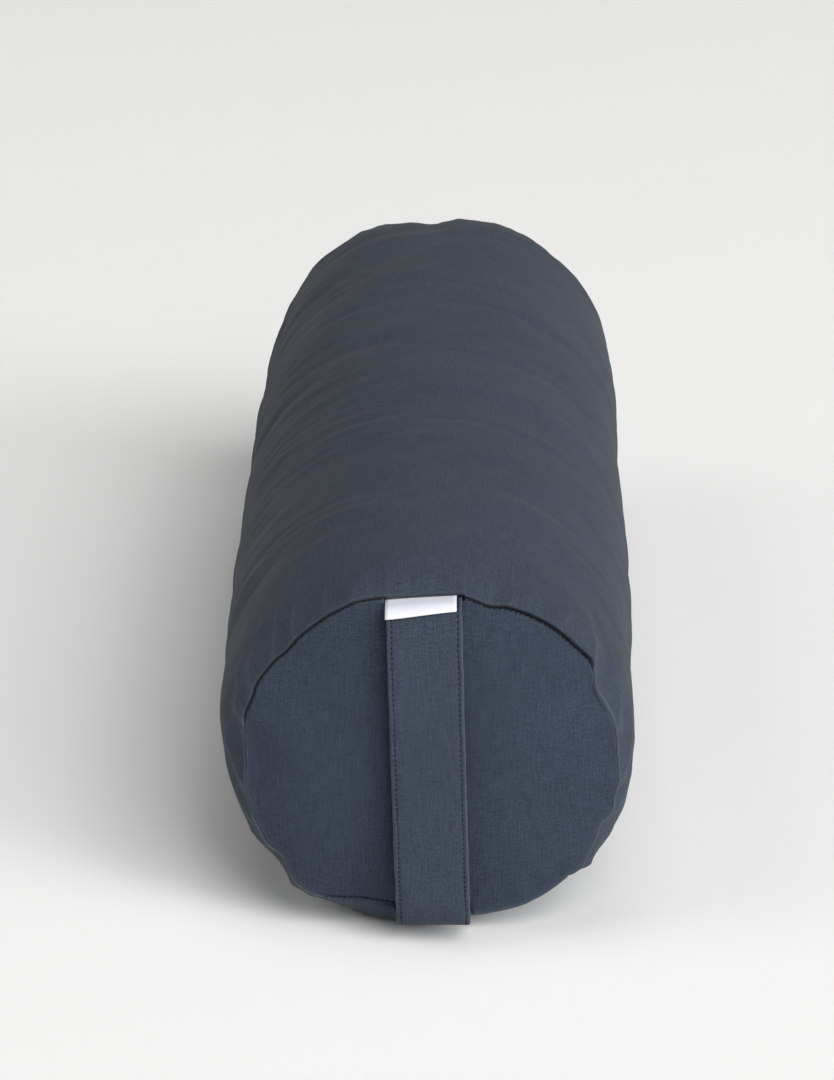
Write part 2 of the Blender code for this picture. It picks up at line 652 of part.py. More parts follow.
def main():
    for piece in list(bpy.data.objects):
        bpy.data.objects.remove(piece, do_unlink=True)

    twill = add_material("cotton twill, slate", (0.056, 0.067, 0.092), 0.9)
    calico = add_material("cotton calico, undyed", (0.72, 0.67, 0.57), 0.9)
    fibre = add_material("cotton fibre", (0.80, 0.76, 0.68), 1.0)
    satin = add_material("woven satin, white", (0.86, 0.86, 0.86), 0.6)
    tape_cloth = add_material("woven polyester tape, slate", (0.045, 0.052, 0.070), 0.8)
    nylon = add_material("nylon, slate", (0.040, 0.046, 0.062), 0.45)
    metal = add_material("enamelled zinc, slate", (0.050, 0.056, 0.072), 0.35, 0.4)

    skin = cover_skin()
    cover = sewn_tube("cover_body", skin, COVER_WALL, SEAM_ALLOWANCE, twill)
    panels = [
        sewn_end(name, skin, end, COVER_WALL, SEAM_ALLOWANCE, COVER_RINGS, twill)
        for name, end in (("front_end_panel", -1), ("rear_end_panel", 1))
    ]
    add_handle(panels[0], twill, satin)
    add_zip(cover, tape_cloth, nylon, metal)

    stack = handle_sagitta(1) + HANDLE_THICKNESS + LABEL_THICKNESS + 4 * CLEARANCE
    under_zip = FLAT_DROP - SLIDER_FLOOR - COVER_WALL
    liner = nested_skin(skin, COVER_WALL, SEAM_ALLOWANCE, stack, under_zip)
    sewn_tube("liner_body", liner, LINER_WALL, LINER_ALLOWANCE, calico)
    for name, end in (("liner_front_end", -1), ("liner_rear_end", 1)):
        sewn_end(name, liner, end, LINER_WALL, LINER_ALLOWANCE, LINER_RINGS, calico)
    seam_inset = LINER_WALL + 2 * CLEARANCE
    core = nested_skin(liner, LINER_WALL, LINER_ALLOWANCE, seam_inset, under_zip)
    filled_core("filling", core, LINER_RINGS, fibre)


main()
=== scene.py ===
import math
import random

import bmesh
import bpy
import numpy as np
from mathutils import Matrix, Vector, noise


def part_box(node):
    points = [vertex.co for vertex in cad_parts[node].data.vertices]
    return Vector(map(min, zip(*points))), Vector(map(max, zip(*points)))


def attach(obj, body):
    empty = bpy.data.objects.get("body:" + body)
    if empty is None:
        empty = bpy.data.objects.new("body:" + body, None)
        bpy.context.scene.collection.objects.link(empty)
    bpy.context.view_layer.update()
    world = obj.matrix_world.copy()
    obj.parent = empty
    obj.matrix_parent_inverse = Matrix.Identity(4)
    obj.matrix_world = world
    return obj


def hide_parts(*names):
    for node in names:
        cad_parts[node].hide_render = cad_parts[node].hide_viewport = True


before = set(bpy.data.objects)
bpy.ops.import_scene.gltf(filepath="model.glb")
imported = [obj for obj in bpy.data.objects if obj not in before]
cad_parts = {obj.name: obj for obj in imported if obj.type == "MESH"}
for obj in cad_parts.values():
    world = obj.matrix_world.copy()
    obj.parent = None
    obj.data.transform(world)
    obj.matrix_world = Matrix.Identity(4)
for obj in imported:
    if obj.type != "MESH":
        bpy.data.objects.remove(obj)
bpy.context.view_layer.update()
print("frame loaded:", len(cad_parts), "nodes")

coverLow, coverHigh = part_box("cover_body")
panelLow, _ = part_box("front_end_panel")
strapLow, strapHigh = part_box("carry_handle")
_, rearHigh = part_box("rear_end_panel")

# sizes that the sewn pieces share, in metres
frontSeam, rearSeam = coverLow[1], coverHigh[1]  # y of the two end seams
axisZ = coverHigh[2] / 2  # height of the middle
panelGap = 0.0003
bolster = {
    "halfWidth": coverHigh[0],
    "halfTop": axisZ,
    "halfUnder": axisZ + 0.009,  # before the floor flattens it
    "seamHalfHeight": rearHigh[2] + panelGap - axisZ,
    "seamHalfWidth": rearHigh[0] + panelGap,
    "shoulder": 0.184,  # from a seam to the full width
    "shoulderPower": 3.2,
    "turn": 0.006,  # how far from a flush seam the cloth takes to turn
    "lip": 0.0018,  # how far the two edges of an open seam lean together
    "lipTurn": 0.0003,
    "lipReach": 0.005,
    "sink": 0.0018,  # and how deep the stitches draw it in
    "sinkReach": 0.0004,
    "bob": 0.0006,  # a seam wanders this far off its plane
    "bobReach": 0.006,
    "seamLowest": 0.0012,
    # how far the paler edge of a flush seam reaches: painted for rubbed wear and as a painted highlight
    "wornAndLitEdge": 0.0009,
    "cloth": 0.0012,
    "allowance": 0.006,
    "columns": 512,
}


def toLinear(hexColour):
    channels = [int(hexColour[i:i + 2], 16) / 255 for i in (0, 2, 4)]
    return [c / 12.92 if c <= 0.04045 else ((c + 0.055) / 1.055) ** 2.4 for c in channels] + [1.0]


def addNode(tree, kind, values=None, **settings):
    node = tree.nodes.new(kind)
    for name, setting in settings.items():
        setattr(node, name, setting)
    for socket, value in (values or {}).items():
        if isinstance(value, bpy.types.NodeSocket):
            tree.links.new(value, node.inputs[socket])
        else:
            node.inputs[socket].default_value = value
    return node


def newMaterial(name, **sockets):
    material = bpy.data.materials.new(name)
    material.use_nodes = True
    shader = material.node_tree.nodes["Principled BSDF"]
    for socket, value in sockets.items():
        shader.inputs[socket.replace("_", " ")].default_value = value
    return material, material.node_tree, shader


def addObject(name, data):
    added = bpy.data.objects.new(name, data)
    bpy.context.scene.collection.objects.link(added)
    return added


def meshObject(name, bm, material):
    mesh = bpy.data.meshes.new(name)
    bm.to_mesh(mesh)
    bm.free()
    mesh.materials.append(material)
    mesh.shade_smooth()
    return addObject(name, mesh)


def addPiece(name, bm, material, body="bolster"):
    piece = meshObject(name, bm, material)
    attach(piece, body)
    return piece


def newVerts(geometry):
    return [g for g in geometry if isinstance(g, bmesh.types.BMVert)]


def pullEdges(bm, edges):
    # extrudes an open edge: gives the new corners and the new edge
    pulled = bmesh.ops.extrude_edge_only(bm, edges=edges)["geom"]
    moved = newVerts(pulled)
    fresh = set(moved)
    return moved, [g for g in pulled if isinstance(g, bmesh.types.BMEdge) and fresh.issuperset(g.verts)]


def alignFaces(bm, way=None, height=0):
    # outwards, or the way that the middle of an open sheet should face
    bmesh.ops.recalc_face_normals(bm, faces=bm.faces)
    if way:
        centre = Vector((0, 0, height))
        middle = min(bm.faces, key=lambda f: (f.calc_center_median() - centre).cross(way).length)
        if middle.normal.dot(way) < 0:
            bmesh.ops.reverse_faces(bm, faces=bm.faces)


def layCloth(faces, uvLayer, flatPlace):
    # gives each corner its place on the flat cloth, in metres
    for face in faces:
        for loop in face.loops:
            loop[uvLayer].uv = flatPlace(loop.vert)


def addWall(piece, thickness, offset):
    wall = piece.modifiers.new("clothThickness", "SOLIDIFY")
    wall.thickness, wall.offset = thickness, offset


def spinLine(bm, places, centre, axis, steps):
    line = [bm.verts.new(place) for place in places]
    edges = [bm.edges.new(pair) for pair in zip(line, line[1:])]
    bmesh.ops.spin(
        bm, geom=line + edges, cent=centre, axis=axis, angle=2 * math.pi, steps=steps, use_merge=True)
    bmesh.ops.remove_doubles(bm, verts=bm.verts, dist=1e-7)


def nodeMesh(node):
    # a copy of one of the frame's solids in world coordinates, its corners joined
    bm = bmesh.new()
    bm.from_mesh(bpy.data.objects[node].data)
    bm.transform(bpy.data.objects[node].matrix_world)
    bmesh.ops.remove_doubles(bm, verts=bm.verts, dist=1e-6)
    return bm


# materials

weave = {
    "ribTurn": 38,
    "wale": 0.00105,  # real twill wales are about 0.5 mm; this coarse they show in the render
    "yarn": 0.0008,
    "slub": 0.014,
    "relief": 0.00014,
    "uneven": 0.06,
    "lintSpacing": 0.045,
    "lintSize": 0.00035,
    "lint": "B4B6BA",
}


def mathNode(tree, operation, first, second):
    return addNode(tree, "ShaderNodeMath", {0: first, 1: second}, operation=operation).outputs[0]


def mixNode(tree, share, first, second):
    # each colour is sRGB hex or comes from another node
    ends = {"A": first, "B": second}
    ready = {key: toLinear(end) if isinstance(end, str) else end for key, end in ends.items()}
    return addNode(tree, "ShaderNodeMix", {"Factor": share, **ready}, data_type="RGBA").outputs["Result"]


def waveNode(tree, vector, pitch, direction, distortion, **more):
    # one band every pitch metres; a wave texture at scale 1 has one every 0.31416
    values = {"Vector": vector, "Scale": 0.31416 / pitch, "Distortion": distortion, **more}
    return addNode(tree, "ShaderNodeTexWave", values, bands_direction=direction).outputs["Fac"]


def mapNode(tree, vector, **values):
    return addNode(tree, "ShaderNodeMapping", {"Vector": vector, **values}).outputs["Vector"]


def noiseNode(tree, vector, scale, detail, **settings):
    values = {"Vector": vector, "Scale": scale, "Detail": detail}
    return addNode(tree, "ShaderNodeTexNoise", values, **settings)


def objectPlace(tree):
    return addNode(tree, "ShaderNodeTexCoord").outputs["Object"]


def rangeNode(tree, value, low, high, toLow=0.0, toHigh=1.0):
    values = {"Value": value, "From Min": low, "From Max": high, "To Min": toLow, "To Max": toHigh}
    return addNode(tree, "ShaderNodeMapRange", values).outputs["Result"]


def finishShader(tree, shader, colour, height, strength, distance):
    tree.links.new(colour, shader.inputs["Base Color"])
    bump = addNode(tree, "ShaderNodeBump", {"Height": height, "Strength": strength, "Distance": distance})
    tree.links.new(bump.outputs["Normal"], shader.inputs["Normal"])


def twillMaterial(name, deep, light, wornAndLit, fuzz):
    # cotton twill, piece dyed and washed: matt, fine diagonal ribs, streaky yarn, a warm bloom of fuzz
    material, tree, shader = newMaterial(
        name, Roughness=0.93, Sheen_Weight=fuzz, Sheen_Roughness=0.42, Sheen_Tint=toLinear("FFF4E2"),
        Specular_IOR_Level=0.14)
    uv = addNode(tree, "ShaderNodeUVMap", uv_map="clothUV").outputs["UV"]
    turned = mapNode(tree, uv, Rotation=(0, 0, math.radians(weave["ribTurn"])))
    detail = {"Detail": 2.0, "Detail Scale": 3.0}
    ribs = waveNode(tree, turned, weave["wale"], "X", 1.4, **detail)
    pattern = mathNode(tree, "MULTIPLY", ribs, 0.22)
    for share, across, along in (
        (0.45, weave["yarn"], weave["slub"]),  # warp
        (0.38, 0.6 * weave["slub"], weave["yarn"]),  # weft
        (0.85, weave["yarn"] / 0.9, weave["yarn"] / 0.9),  # specks
    ):
        spot = mapNode(tree, uv, Scale=(1 / across, 1 / along, 1.0), Location=(3.1, 7.7, 0))
        yarns = noiseNode(tree, spot, 1.0, 2.0, noise_dimensions="2D")
        yarns.inputs["Roughness"].default_value = 0.6
        pattern = mathNode(tree, "ADD", pattern, mathNode(tree, "MULTIPLY", yarns.outputs["Fac"], share))
    cloth = mixNode(tree, rangeNode(tree, pattern, 0.62, 1.28), deep, light)
    # the dye took a little unevenly from place to place
    patches = noiseNode(tree, objectPlace(tree), 13.0, 4.0)
    dye = rangeNode(tree, patches.outputs["Fac"], 0.3, 0.7, 1 - weave["uneven"], 1 + weave["uneven"])
    dyed = addNode(tree, "ShaderNodeVectorMath", {0: cloth, "Scale": dye}, operation="SCALE")
    # folds, crests and seam edges are painted paler: partly rubbed wear, partly a painted highlight
    rubbedAndLit = addNode(tree, "ShaderNodeAttribute", attribute_name="wornAndLit").outputs["Fac"]
    fadedAndLit = mixNode(tree, mathNode(tree, "MULTIPLY", rubbedAndLit, 0.6), dyed.outputs["Vector"], wornAndLit)
    # a few specks of lint
    cells = addNode(tree, "ShaderNodeTexVoronoi", {"Vector": uv, "Scale": 1 / weave["lintSpacing"]})
    near = mathNode(tree, "LESS_THAN", cells.outputs["Distance"], weave["lintSize"] / weave["lintSpacing"])
    chosen = addNode(tree, "ShaderNodeSeparateColor", {"Color": cells.outputs["Color"]}).outputs["Red"]
    lint = mathNode(tree, "MULTIPLY", near, mathNode(tree, "GREATER_THAN", chosen, 0.6))
    colour = mixNode(tree, mathNode(tree, "MULTIPLY", lint, 0.5), fadedAndLit, weave["lint"])
    finishShader(tree, shader, colour, pattern, 0.55, weave["relief"])
    return material


bodyTwill = twillMaterial("cottonTwillBody", "262D38", "444C59", "646A75", fuzz=0.06)
# the end panels are the same cloth as the body, painted darker to stand in for the shade on the end faces
panelTwillPaintedShade = twillMaterial("cottonTwillPanelPaintedShade", "212833", "3E4755", "606978", fuzz=0.02)
strapTwill = twillMaterial("cottonTwillStrap", "252C37", "434B59", "646C79", fuzz=0.03)


def threadPaintedShadeMaterial():
    # dark sewing thread of spun polyester, twisted, with a very soft shine; painted near black so that it
    # also stands in for the shade in the seam groove and in the needle holes
    material, tree, shader = newMaterial("spunThreadPaintedShade", Roughness=0.7, Specular_IOR_Level=0.25)
    twist = waveNode(tree, objectPlace(tree), 0.0004, "DIAGONAL", 1.0)
    tree.links.new(mixNode(tree, twist, "0D1016", "1B2029"), shader.inputs["Base Color"])
    return material


threadPaintedShade = threadPaintedShadeMaterial()


def labelMaterial():
    # woven polyester satin: white, fine crosswise ribs, soft shine
    material, tree, shader = newMaterial("wovenSatin", Roughness=0.5, Sheen_Weight=0.1)
    uv = addNode(tree, "ShaderNodeUVMap", uv_map="clothUV").outputs["UV"]
    ribs = waveNode(tree, uv, 0.0009, "Y", 0.3)
    specks = noiseNode(tree, uv, 900.0, 2.0)
    both = mathNode(tree, "ADD", ribs, specks.outputs["Fac"])
    colour = mixNode(tree, rangeNode(tree, both, 0.3, 1.6), "D6D7E1", "E6E7F0")
    finishShader(tree, shader, colour, both, 0.4, 0.00003)
    return material


labelSatin = labelMaterial()


def speckledMaterial(name, dark, light, grain, relief, **sockets):
    # colour and surface vary a little over a grain of this size
    material, tree, shader = newMaterial(name, **sockets)
    spots = noiseNode(tree, objectPlace(tree), 1 / grain, 3.0).outputs["Fac"]
    colour = mixNode(tree, rangeNode(tree, spots, 0.3, 0.7), dark, light)
    finishShader(tree, shader, colour, spots, 0.5, relief)
    return material


def tapeMaterial():
    # woven polyester zip tape: a tight herringbone, smoother and darker than the cover
    material, tree, shader = newMaterial("wovenZipTape", Roughness=0.75, Sheen_Weight=0.08)
    place = objectPlace(tree)
    lines = [
        waveNode(tree, mapNode(tree, place, Rotation=(0, 0, math.radians(turn))), 0.0008, "Y", 0.4)
        for turn in (35, -35)]
    both = mathNode(tree, "MULTIPLY", *lines)
    finishShader(tree, shader, mixNode(tree, both, "262C37", "414957"), both, 0.5, 0.0001)
    return material


# polyamide coil: dyed through, moulded smooth, satin
coilPolyamide = speckledMaterial(
    "polyamideCoil", "262B36", "363D4A", 0.002, 0.00002, Roughness=0.38, Specular_IOR_Level=0.5)
# die-cast zinc under slate enamel: hard gloss with a faint orange peel
enamelledZinc = speckledMaterial(
    "enamelledZinc", "2B313C", "39414E", 0.0012, 0.00002, Roughness=0.28, Coat_Weight=0.6,
    Coat_Roughness=0.12)
# unbleached cotton calico: flecked cream
calico = speckledMaterial(
    "cottonCalico", "CFC4AC", "E2D9C4", 0.0011, 0.00015, Roughness=0.95, Sheen_Weight=0.1)
# loose cotton fibre: off-white, clumped
cottonFibre = speckledMaterial(
    "cottonFibre", "D8CFBC", "EDE7DA", 0.006, 0.0008, Roughness=1.0, Sheen_Weight=0.3)
zipTape = tapeMaterial()
print("materials made")

# body of the cover

# Where the front seam lies, in degrees round it from +X and mm outside its plain oval
frontSeamLine = (
    (2, 1), (9, 1), (14, 0.2), (18, -0.9), (23, -2.1), (26.5, -1.4), (29, 1.2), (33, 2.9), (41, 1.3),
    (52, 0.4), (61, -1.4), (66, -2.3), (70, -4.8), (76, -2.5), (90, -1.2), (99, -2.4), (105, -2.2),
    (111, -0.6), (121, -1.9), (134, -3.8), (141, -4.5), (145, -3), (153, -1.9), (159, -3), (168.5, -2),
    (183, -3.8), (191, -2.4), (194, -1), (206, 0.9), (214.6, 2.4), (220.4, 0.5), (229, 7.2), (235, 8.2),
    (240, 4), (248, -3), (260, -5), (272, -4), (283.6, 4), (289, 5.4), (298, 7.6), (306, 7.5), (314, 6.6),
    (320, 8.6), (324, 6), (331, 3.7), (335, 1.5), (338, 3.2), (340, 5), (346, 3), (350, 3.2), (356, 1.8),
)
# and how open its groove is there: 0 where the cloth runs flush over it
frontSeamOpen = (
    (0, 0), (31, 0.05), (34, 1), (66, 1), (72, 0.6), (110, 0.6), (120, 0.9), (165, 0.9), (170, 0.15),
    (200, 0.1), (216, 0.3), (232, 0.1), (244, 0.8), (262, 0.8), (272, 0.2), (282, -0.6), (304, -0.6),
    (313, -0.2), (320, 0), (345, 0),
)
# The gathered cloth is pulled out in sharp folds that run from the front seam into the body and sags in
# pockets between them: place of a fold and its lean in degrees, depth and reach of its pocket in mm
frontPleats = (
    (8, 17, 3.4, 30), (34, 3, 0.9, 20), (47, 0, 0.5, 20), (60, 0, 0.6, 20), (71, 0, 0.9, 18),
    (79, 0, 0.4, 14), (101, 0, 0.8, 16), (113, 0, 1.4, 18), (122, -3, 1.6, 20), (134, -4, 2.2, 24),
    (144, -6, 2.2, 24), (156, -8, 2.4, 22), (169, -12, 4.4, 24), (193, -11, 3.2, 22), (205, -8, 2.4, 16),
    (215, -7, 3.6, 14), (231, -5, 3, 12), (246, -2, 1.2, 12), (262, 0, 0.6, 10), (284, 2, 0.8, 10),
    (299, 4, 1, 12), (318, 6, 2, 14), (337, 12, 3, 18), (350, 13, 3.2, 22),
)

cover = {
    "seamFade": 0.022,  # how deep a bend of the seam still shows in the body
    "gather": 0.00035,  # fine gathers between the creases
    "gatherStart": 0.002,
    "gatherReach": 0.009,
    "pleatStart": 0.0022,
    "pressReach": 0.005,
    "scallop": 0.32,  # how far a seam follows the pockets between its pleats
    "pleatWornAndLit": 0.24,  # how pale a fold is painted for each mm of the pocket behind it: rubbed wear and a painted highlight
    "rollAngle": 258,  # the cloth under the front seam rolls over here
    "rollSpan": 17,
    "rearPleats": 24,
    "rearSeamBend": 0.0022,
    "lump": 0.0008,
    "crumple": 0.0017,  # sharp small folds near the end seams, most at the sides
    "crumpleStart": 0.004,
    "crumpleReach": 0.036,
    # how pale the crests of the small folds and the edges of flush seams are painted: rubbed wear and a
    # painted highlight
    "crestWornAndLit": 0.12,
    "edgeWornAndLit": 0.55,
    "wrinkles": 110,
    "wrinkleHeight": 0.00088,
    "slotHalf": 0.00625,
    "slotFront": -0.2099,
    "slotRear": 0.22685,
    "zipAngle": -45.0,
    "zipLevel": 0.114193,  # from the axis to the flat under the zip
    "zipSeamDepth": 0.0007,
    "zipSeamWidth": 0.0014,
    "zipSeamSoft": 0.0048,
    "zipCalm": 0.02,  # how far past the slot the cloth is flat
    "zipCalmTurn": 12,  # and how many degrees on each side of it
    "settle": 0.02,  # from a seam to where the filling's lumps show in full
    "floorTurn": 0.0012,
}
slotMiddle = (cover["slotFront"] + cover["slotRear"]) / 2
slotReach = (cover["slotRear"] - cover["slotFront"]) / 2
# the way out from the zip, the way across it and the middle of the flat that it lies on
zipTurn = math.radians(cover["zipAngle"])
zipOut = Vector((math.cos(zipTurn), 0, math.sin(zipTurn)))
zipAcross = Vector((0, 1, 0)).cross(zipOut)
zipFlat = Vector((0, 0, axisZ)) + zipOut * cover["zipLevel"]

# soft swells and dips of the filling: degrees, y, spread in degrees and metres, height in mm
swells = (
    (-26, -0.276, 13, 0.06, 4.6), (-50, -0.304, 12, 0.06, -1.5), (164, 0.185, 22, 0.06, -2.2),
    (158, 0.262, 13, 0.05, -4), (172, -0.05, 22, 0.06, 0.6), (92, 0.31, 7, 0.06, -4.2),
    (104, 0.31, 6, 0.06, -0.6), (116, 0.31, 6, 0.06, 1.6), (5, -0.205, 14, 0.05, -3.6),
    (40, 0.25, 22, 0.06, -1), (30, 0.305, 16, 0.04, 2.2), (5, 0.1, 14, 0.1, -1.6),
    (140, -0.26, 20, 0.05, -0.8), (254, -0.286, 9, 0.014, 3),
)

rng = random.Random(7)


def loosely(count, stray):
    # angles all round, evenly spread but not regular
    step = 360 / count
    return [(i + 0.5 + rng.uniform(-stray, stray)) * step for i in range(count)]


rearPleats = [
    (a, math.copysign(rng.uniform(2, 10), math.cos(math.radians(a))), rng.uniform(0.8, 2.4),
     rng.uniform(14, 26))
    for a in loosely(cover["rearPleats"], 0.35)]
rearSeamLine = [(a, rng.uniform(-1.0, 0.5) * 1000 * cover["rearSeamBend"]) for a in loosely(40, 0.25)]
rearSeamOpen = [(a, rng.uniform(0.2, 0.9)) for a in loosely(14, 0.3)]
seamPlaces = {-1: frontSeam, 1: rearSeam}
seamLines = {-1: frontSeamLine, 1: rearSeamLine}
seamOpens = {-1: frontSeamOpen, 1: rearSeamOpen}
pleatSets = {-1: frontPleats, 1: rearPleats}

# small folds: y, degrees, spread in degrees and metres, height, lean in metres per degree
wrinkles = []
for _ in range(cover["wrinkles"]):
    kind = rng.random()
    low, high = (118, 170) if kind < 0.5 else (8, 62) if kind < 0.8 else (65, 115)
    middle = rng.uniform(low, high)
    wrinkles.append((
        rng.uniform(-0.235, 0.300), middle, rng.uniform(16, 44), rng.uniform(0.0022, 0.0065),
        rng.choice((-1, 1)) * rng.uniform(0.4, 1.1) * (0.5 if kind >= 0.8 else 1.0),
        rng.uniform(-0.00040, 0.00040)))
# drag lines down the shaded side, one about every 11 mm
for i in range(44):
    wrinkles.append((
        -0.205 + 0.0112 * i + rng.uniform(-0.003, 0.003), rng.uniform(140, 168), rng.uniform(18, 34),
        rng.uniform(0.0024, 0.0042), rng.uniform(0.5, 1.2), 0.00022 + rng.uniform(-0.00012, 0.00012)))


def turnFrom(angles, middle):
    return (angles - middle + 180) % 360 - 180


def bell(values):
    return np.exp(-values ** 2)


def fading(depth, reach):
    return np.exp(-depth / reach)


def risen(depth, reach):
    return 1 - np.exp(-depth / reach)


def plateau(values, middle, half, soft):
    return 1 / (1 + np.exp(np.clip((np.abs(values - middle) - half) / soft * 4, -40, 40)))


def pushOut(x, z, shift):
    # moves places this far away from the axis
    scale = 1 + shift / np.hypot(x, z)
    return x * scale, z * scale


def readRound(angles, pairs):
    # a value between listed points round the seam, its corners eased
    at, values = zip(*sorted(pairs))
    eased = sum(np.interp(angles + off, at, values, period=360) for off in (-1.4, -0.5, 0.5, 1.4))
    return eased / 4


def softNoise(points, scale, seed):
    # a smooth uneven field between about -1 and 1, made of waves that run all ways
    waves = np.random.default_rng(seed)
    total = np.zeros(len(points))
    for _ in range(14):
        way = waves.normal(size=3)
        way *= scale * waves.uniform(2.2, 6.0) / np.linalg.norm(way)
        total += np.sin(points @ way + waves.uniform(0, 2 * math.pi))
    return total / 5


def swellAt(angles, ys):
    # fades out at the front seam, whose own line is set above
    total = np.zeros(len(angles))
    for middle, y, spread, length, high in swells:
        total += high / 1000 * bell(turnFrom(angles, middle) / spread) * bell((ys - y) / length)
    return total * risen(np.maximum(0, ys - frontSeam), 2 * bolster["turn"])


def crumpleAt(points, turn, depth):
    # the height of the small folds, and how pale their crests are painted: rubbed wear and a painted
    # highlight
    field = np.abs(softNoise(points, 44, 31))
    fade = bell(depth / cover["crumpleReach"]) * risen(depth, cover["crumpleStart"])
    fade *= 0.25 + 0.75 * np.abs(np.cos(turn))
    return (0.45 - field) * fade, bell(field / 0.07) * fade


def ovalAt(angles, depth, opened):
    left = np.clip(1 - depth / bolster["shoulder"], 0, 1)
    power = bolster["shoulderPower"]
    out = (1 - left ** power) ** (1 / power)
    # where its value is below 0 the body hides behind the panel
    held = np.clip(-opened, 0, 1)
    shut = 1 - np.clip(opened, 0, 1)
    out = out * (1 - 0.9 * shut * fading(depth, bolster["turn"] * (1 + 7 * held)))
    turn = np.radians(angles)
    tall = np.where(np.sin(turn) > 0, bolster["halfTop"], bolster["halfUnder"])
    wide = bolster["seamHalfWidth"] + (bolster["halfWidth"] - bolster["seamHalfWidth"]) * out
    high = bolster["seamHalfHeight"] + (tall - bolster["seamHalfHeight"]) * out
    return wide * np.cos(turn), high * np.sin(turn)


def pleatsAt(angles, depth, end):
    # how far the cloth sags between the pleats, and how pale their folds are painted: rubbed wear and a
    # painted highlight
    pleats = pleatSets[end]
    sunk, rubbedAndLit = np.zeros_like(angles), np.zeros_like(angles)
    for i, (start, lean, deep, reach) in enumerate(pleats):
        stop, nextLean, _, nextReach = pleats[(i + 1) % len(pleats)]
        turned = lean * np.minimum(depth * 1000 / reach, 1.6) ** 1.3
        nextTurned = nextLean * np.minimum(depth * 1000 / nextReach, 1.6) ** 1.3
        span = np.maximum((stop - start) % 360 + nextTurned - turned, 1)
        share = ((angles - start - turned) % 360) / span
        inside = share < 1
        near = np.minimum(share, 1 - share)[inside]
        fade = bell(depth[inside] * 1000 / reach) * risen(depth[inside], cover["pleatStart"])
        sunk[inside] = deep / 1000 * fade * (2.2 * near ** 0.62 - 1.1 * near)
        wide = span[inside] * math.pi / 180 * bolster["halfWidth"] * 1000
        rubAndLit = np.minimum(1, cover["pleatWornAndLit"] * deep) * fade
        rubbedAndLit[inside] = rubAndLit * fading(near * wide, 0.9)
    return sunk, rubbedAndLit


# the front seam opens for the strap and the label: the body's edge lies outside, the panel's inside
seat = {
    "strap": 0.0024,
    "label": 0.0011,
    "play": 0.0004,
    "beside": 0.0006,
    "soft": 0.0014,
    "shift": 0.0055,  # the strap's foot lies this far to the right of its top
    "lower": 0.0040,  # and is pulled down this far
    "tilt": 0.085,  # the seam is drawn up a little to the right of the label
    "droop": 0.0023,
}
strapHalf = (strapHigh[0] - strapLow[0]) / 2 - seat["shift"] / 2
strapTopX, strapFootX = strapLow[0] + strapHalf, strapHigh[0] - strapHalf
strapTop = strapHigh[2] - seat["strap"] / 2 - seat["droop"]
strapFoot = strapLow[2] + seat["strap"] / 2 - seat["lower"]


def seamSeat(x, z, isBody):
    # how far the strap lifts or lowers an edge of the front seam
    half = strapHalf + seat["beside"]
    top = plateau(x, strapTopX, half, seat["soft"]) * (z > axisZ)
    foot = plateau(x, strapFootX, half, seat["soft"]) * (z < axisZ)
    aside = (1 if isBody else -1) * (seat["strap"] / 2 + seat["play"])
    topZ = strapTop + seat["tilt"] * (x - strapTopX) + aside + seat["label"] * isBody
    return top * (topZ - z) + foot * (strapFoot - aside - z)


def seamBend(angles, end):
    # how far outside its oval a seam lies: its own line, with scallops between the pleats
    scallop = pleatsAt(angles, 0.004 + 0 * angles, end)[0]
    return readRound(angles, seamLines[end]) / 1000 - cover["scallop"] * scallop


def seamCut(angles, end):
    # the line of an end seam before the strap and the floor press on it: x, z
    x, z = pushOut(*ovalAt(angles, 0, 1), seamBend(angles, end))
    return x, axisZ + z


def seamRing(angles, end, isBody):
    x, z = seamCut(angles, end)
    z = np.maximum(z, bolster["seamLowest"])
    if end < 0:
        return x, z + seamSeat(x, z, isBody)
    x, z = pushOut(x, z - axisZ, swellAt(angles, rearSeam))
    return x, axisZ + z


def seamBob(turn, end, depth):
    return bolster["bob"] * np.sin(turn * 9 + end) * fading(depth, bolster["bobReach"])


def lipLean(depth):
    return bolster["lip"] * risen(depth, bolster["lipTurn"]) * fading(depth, bolster["lipReach"])


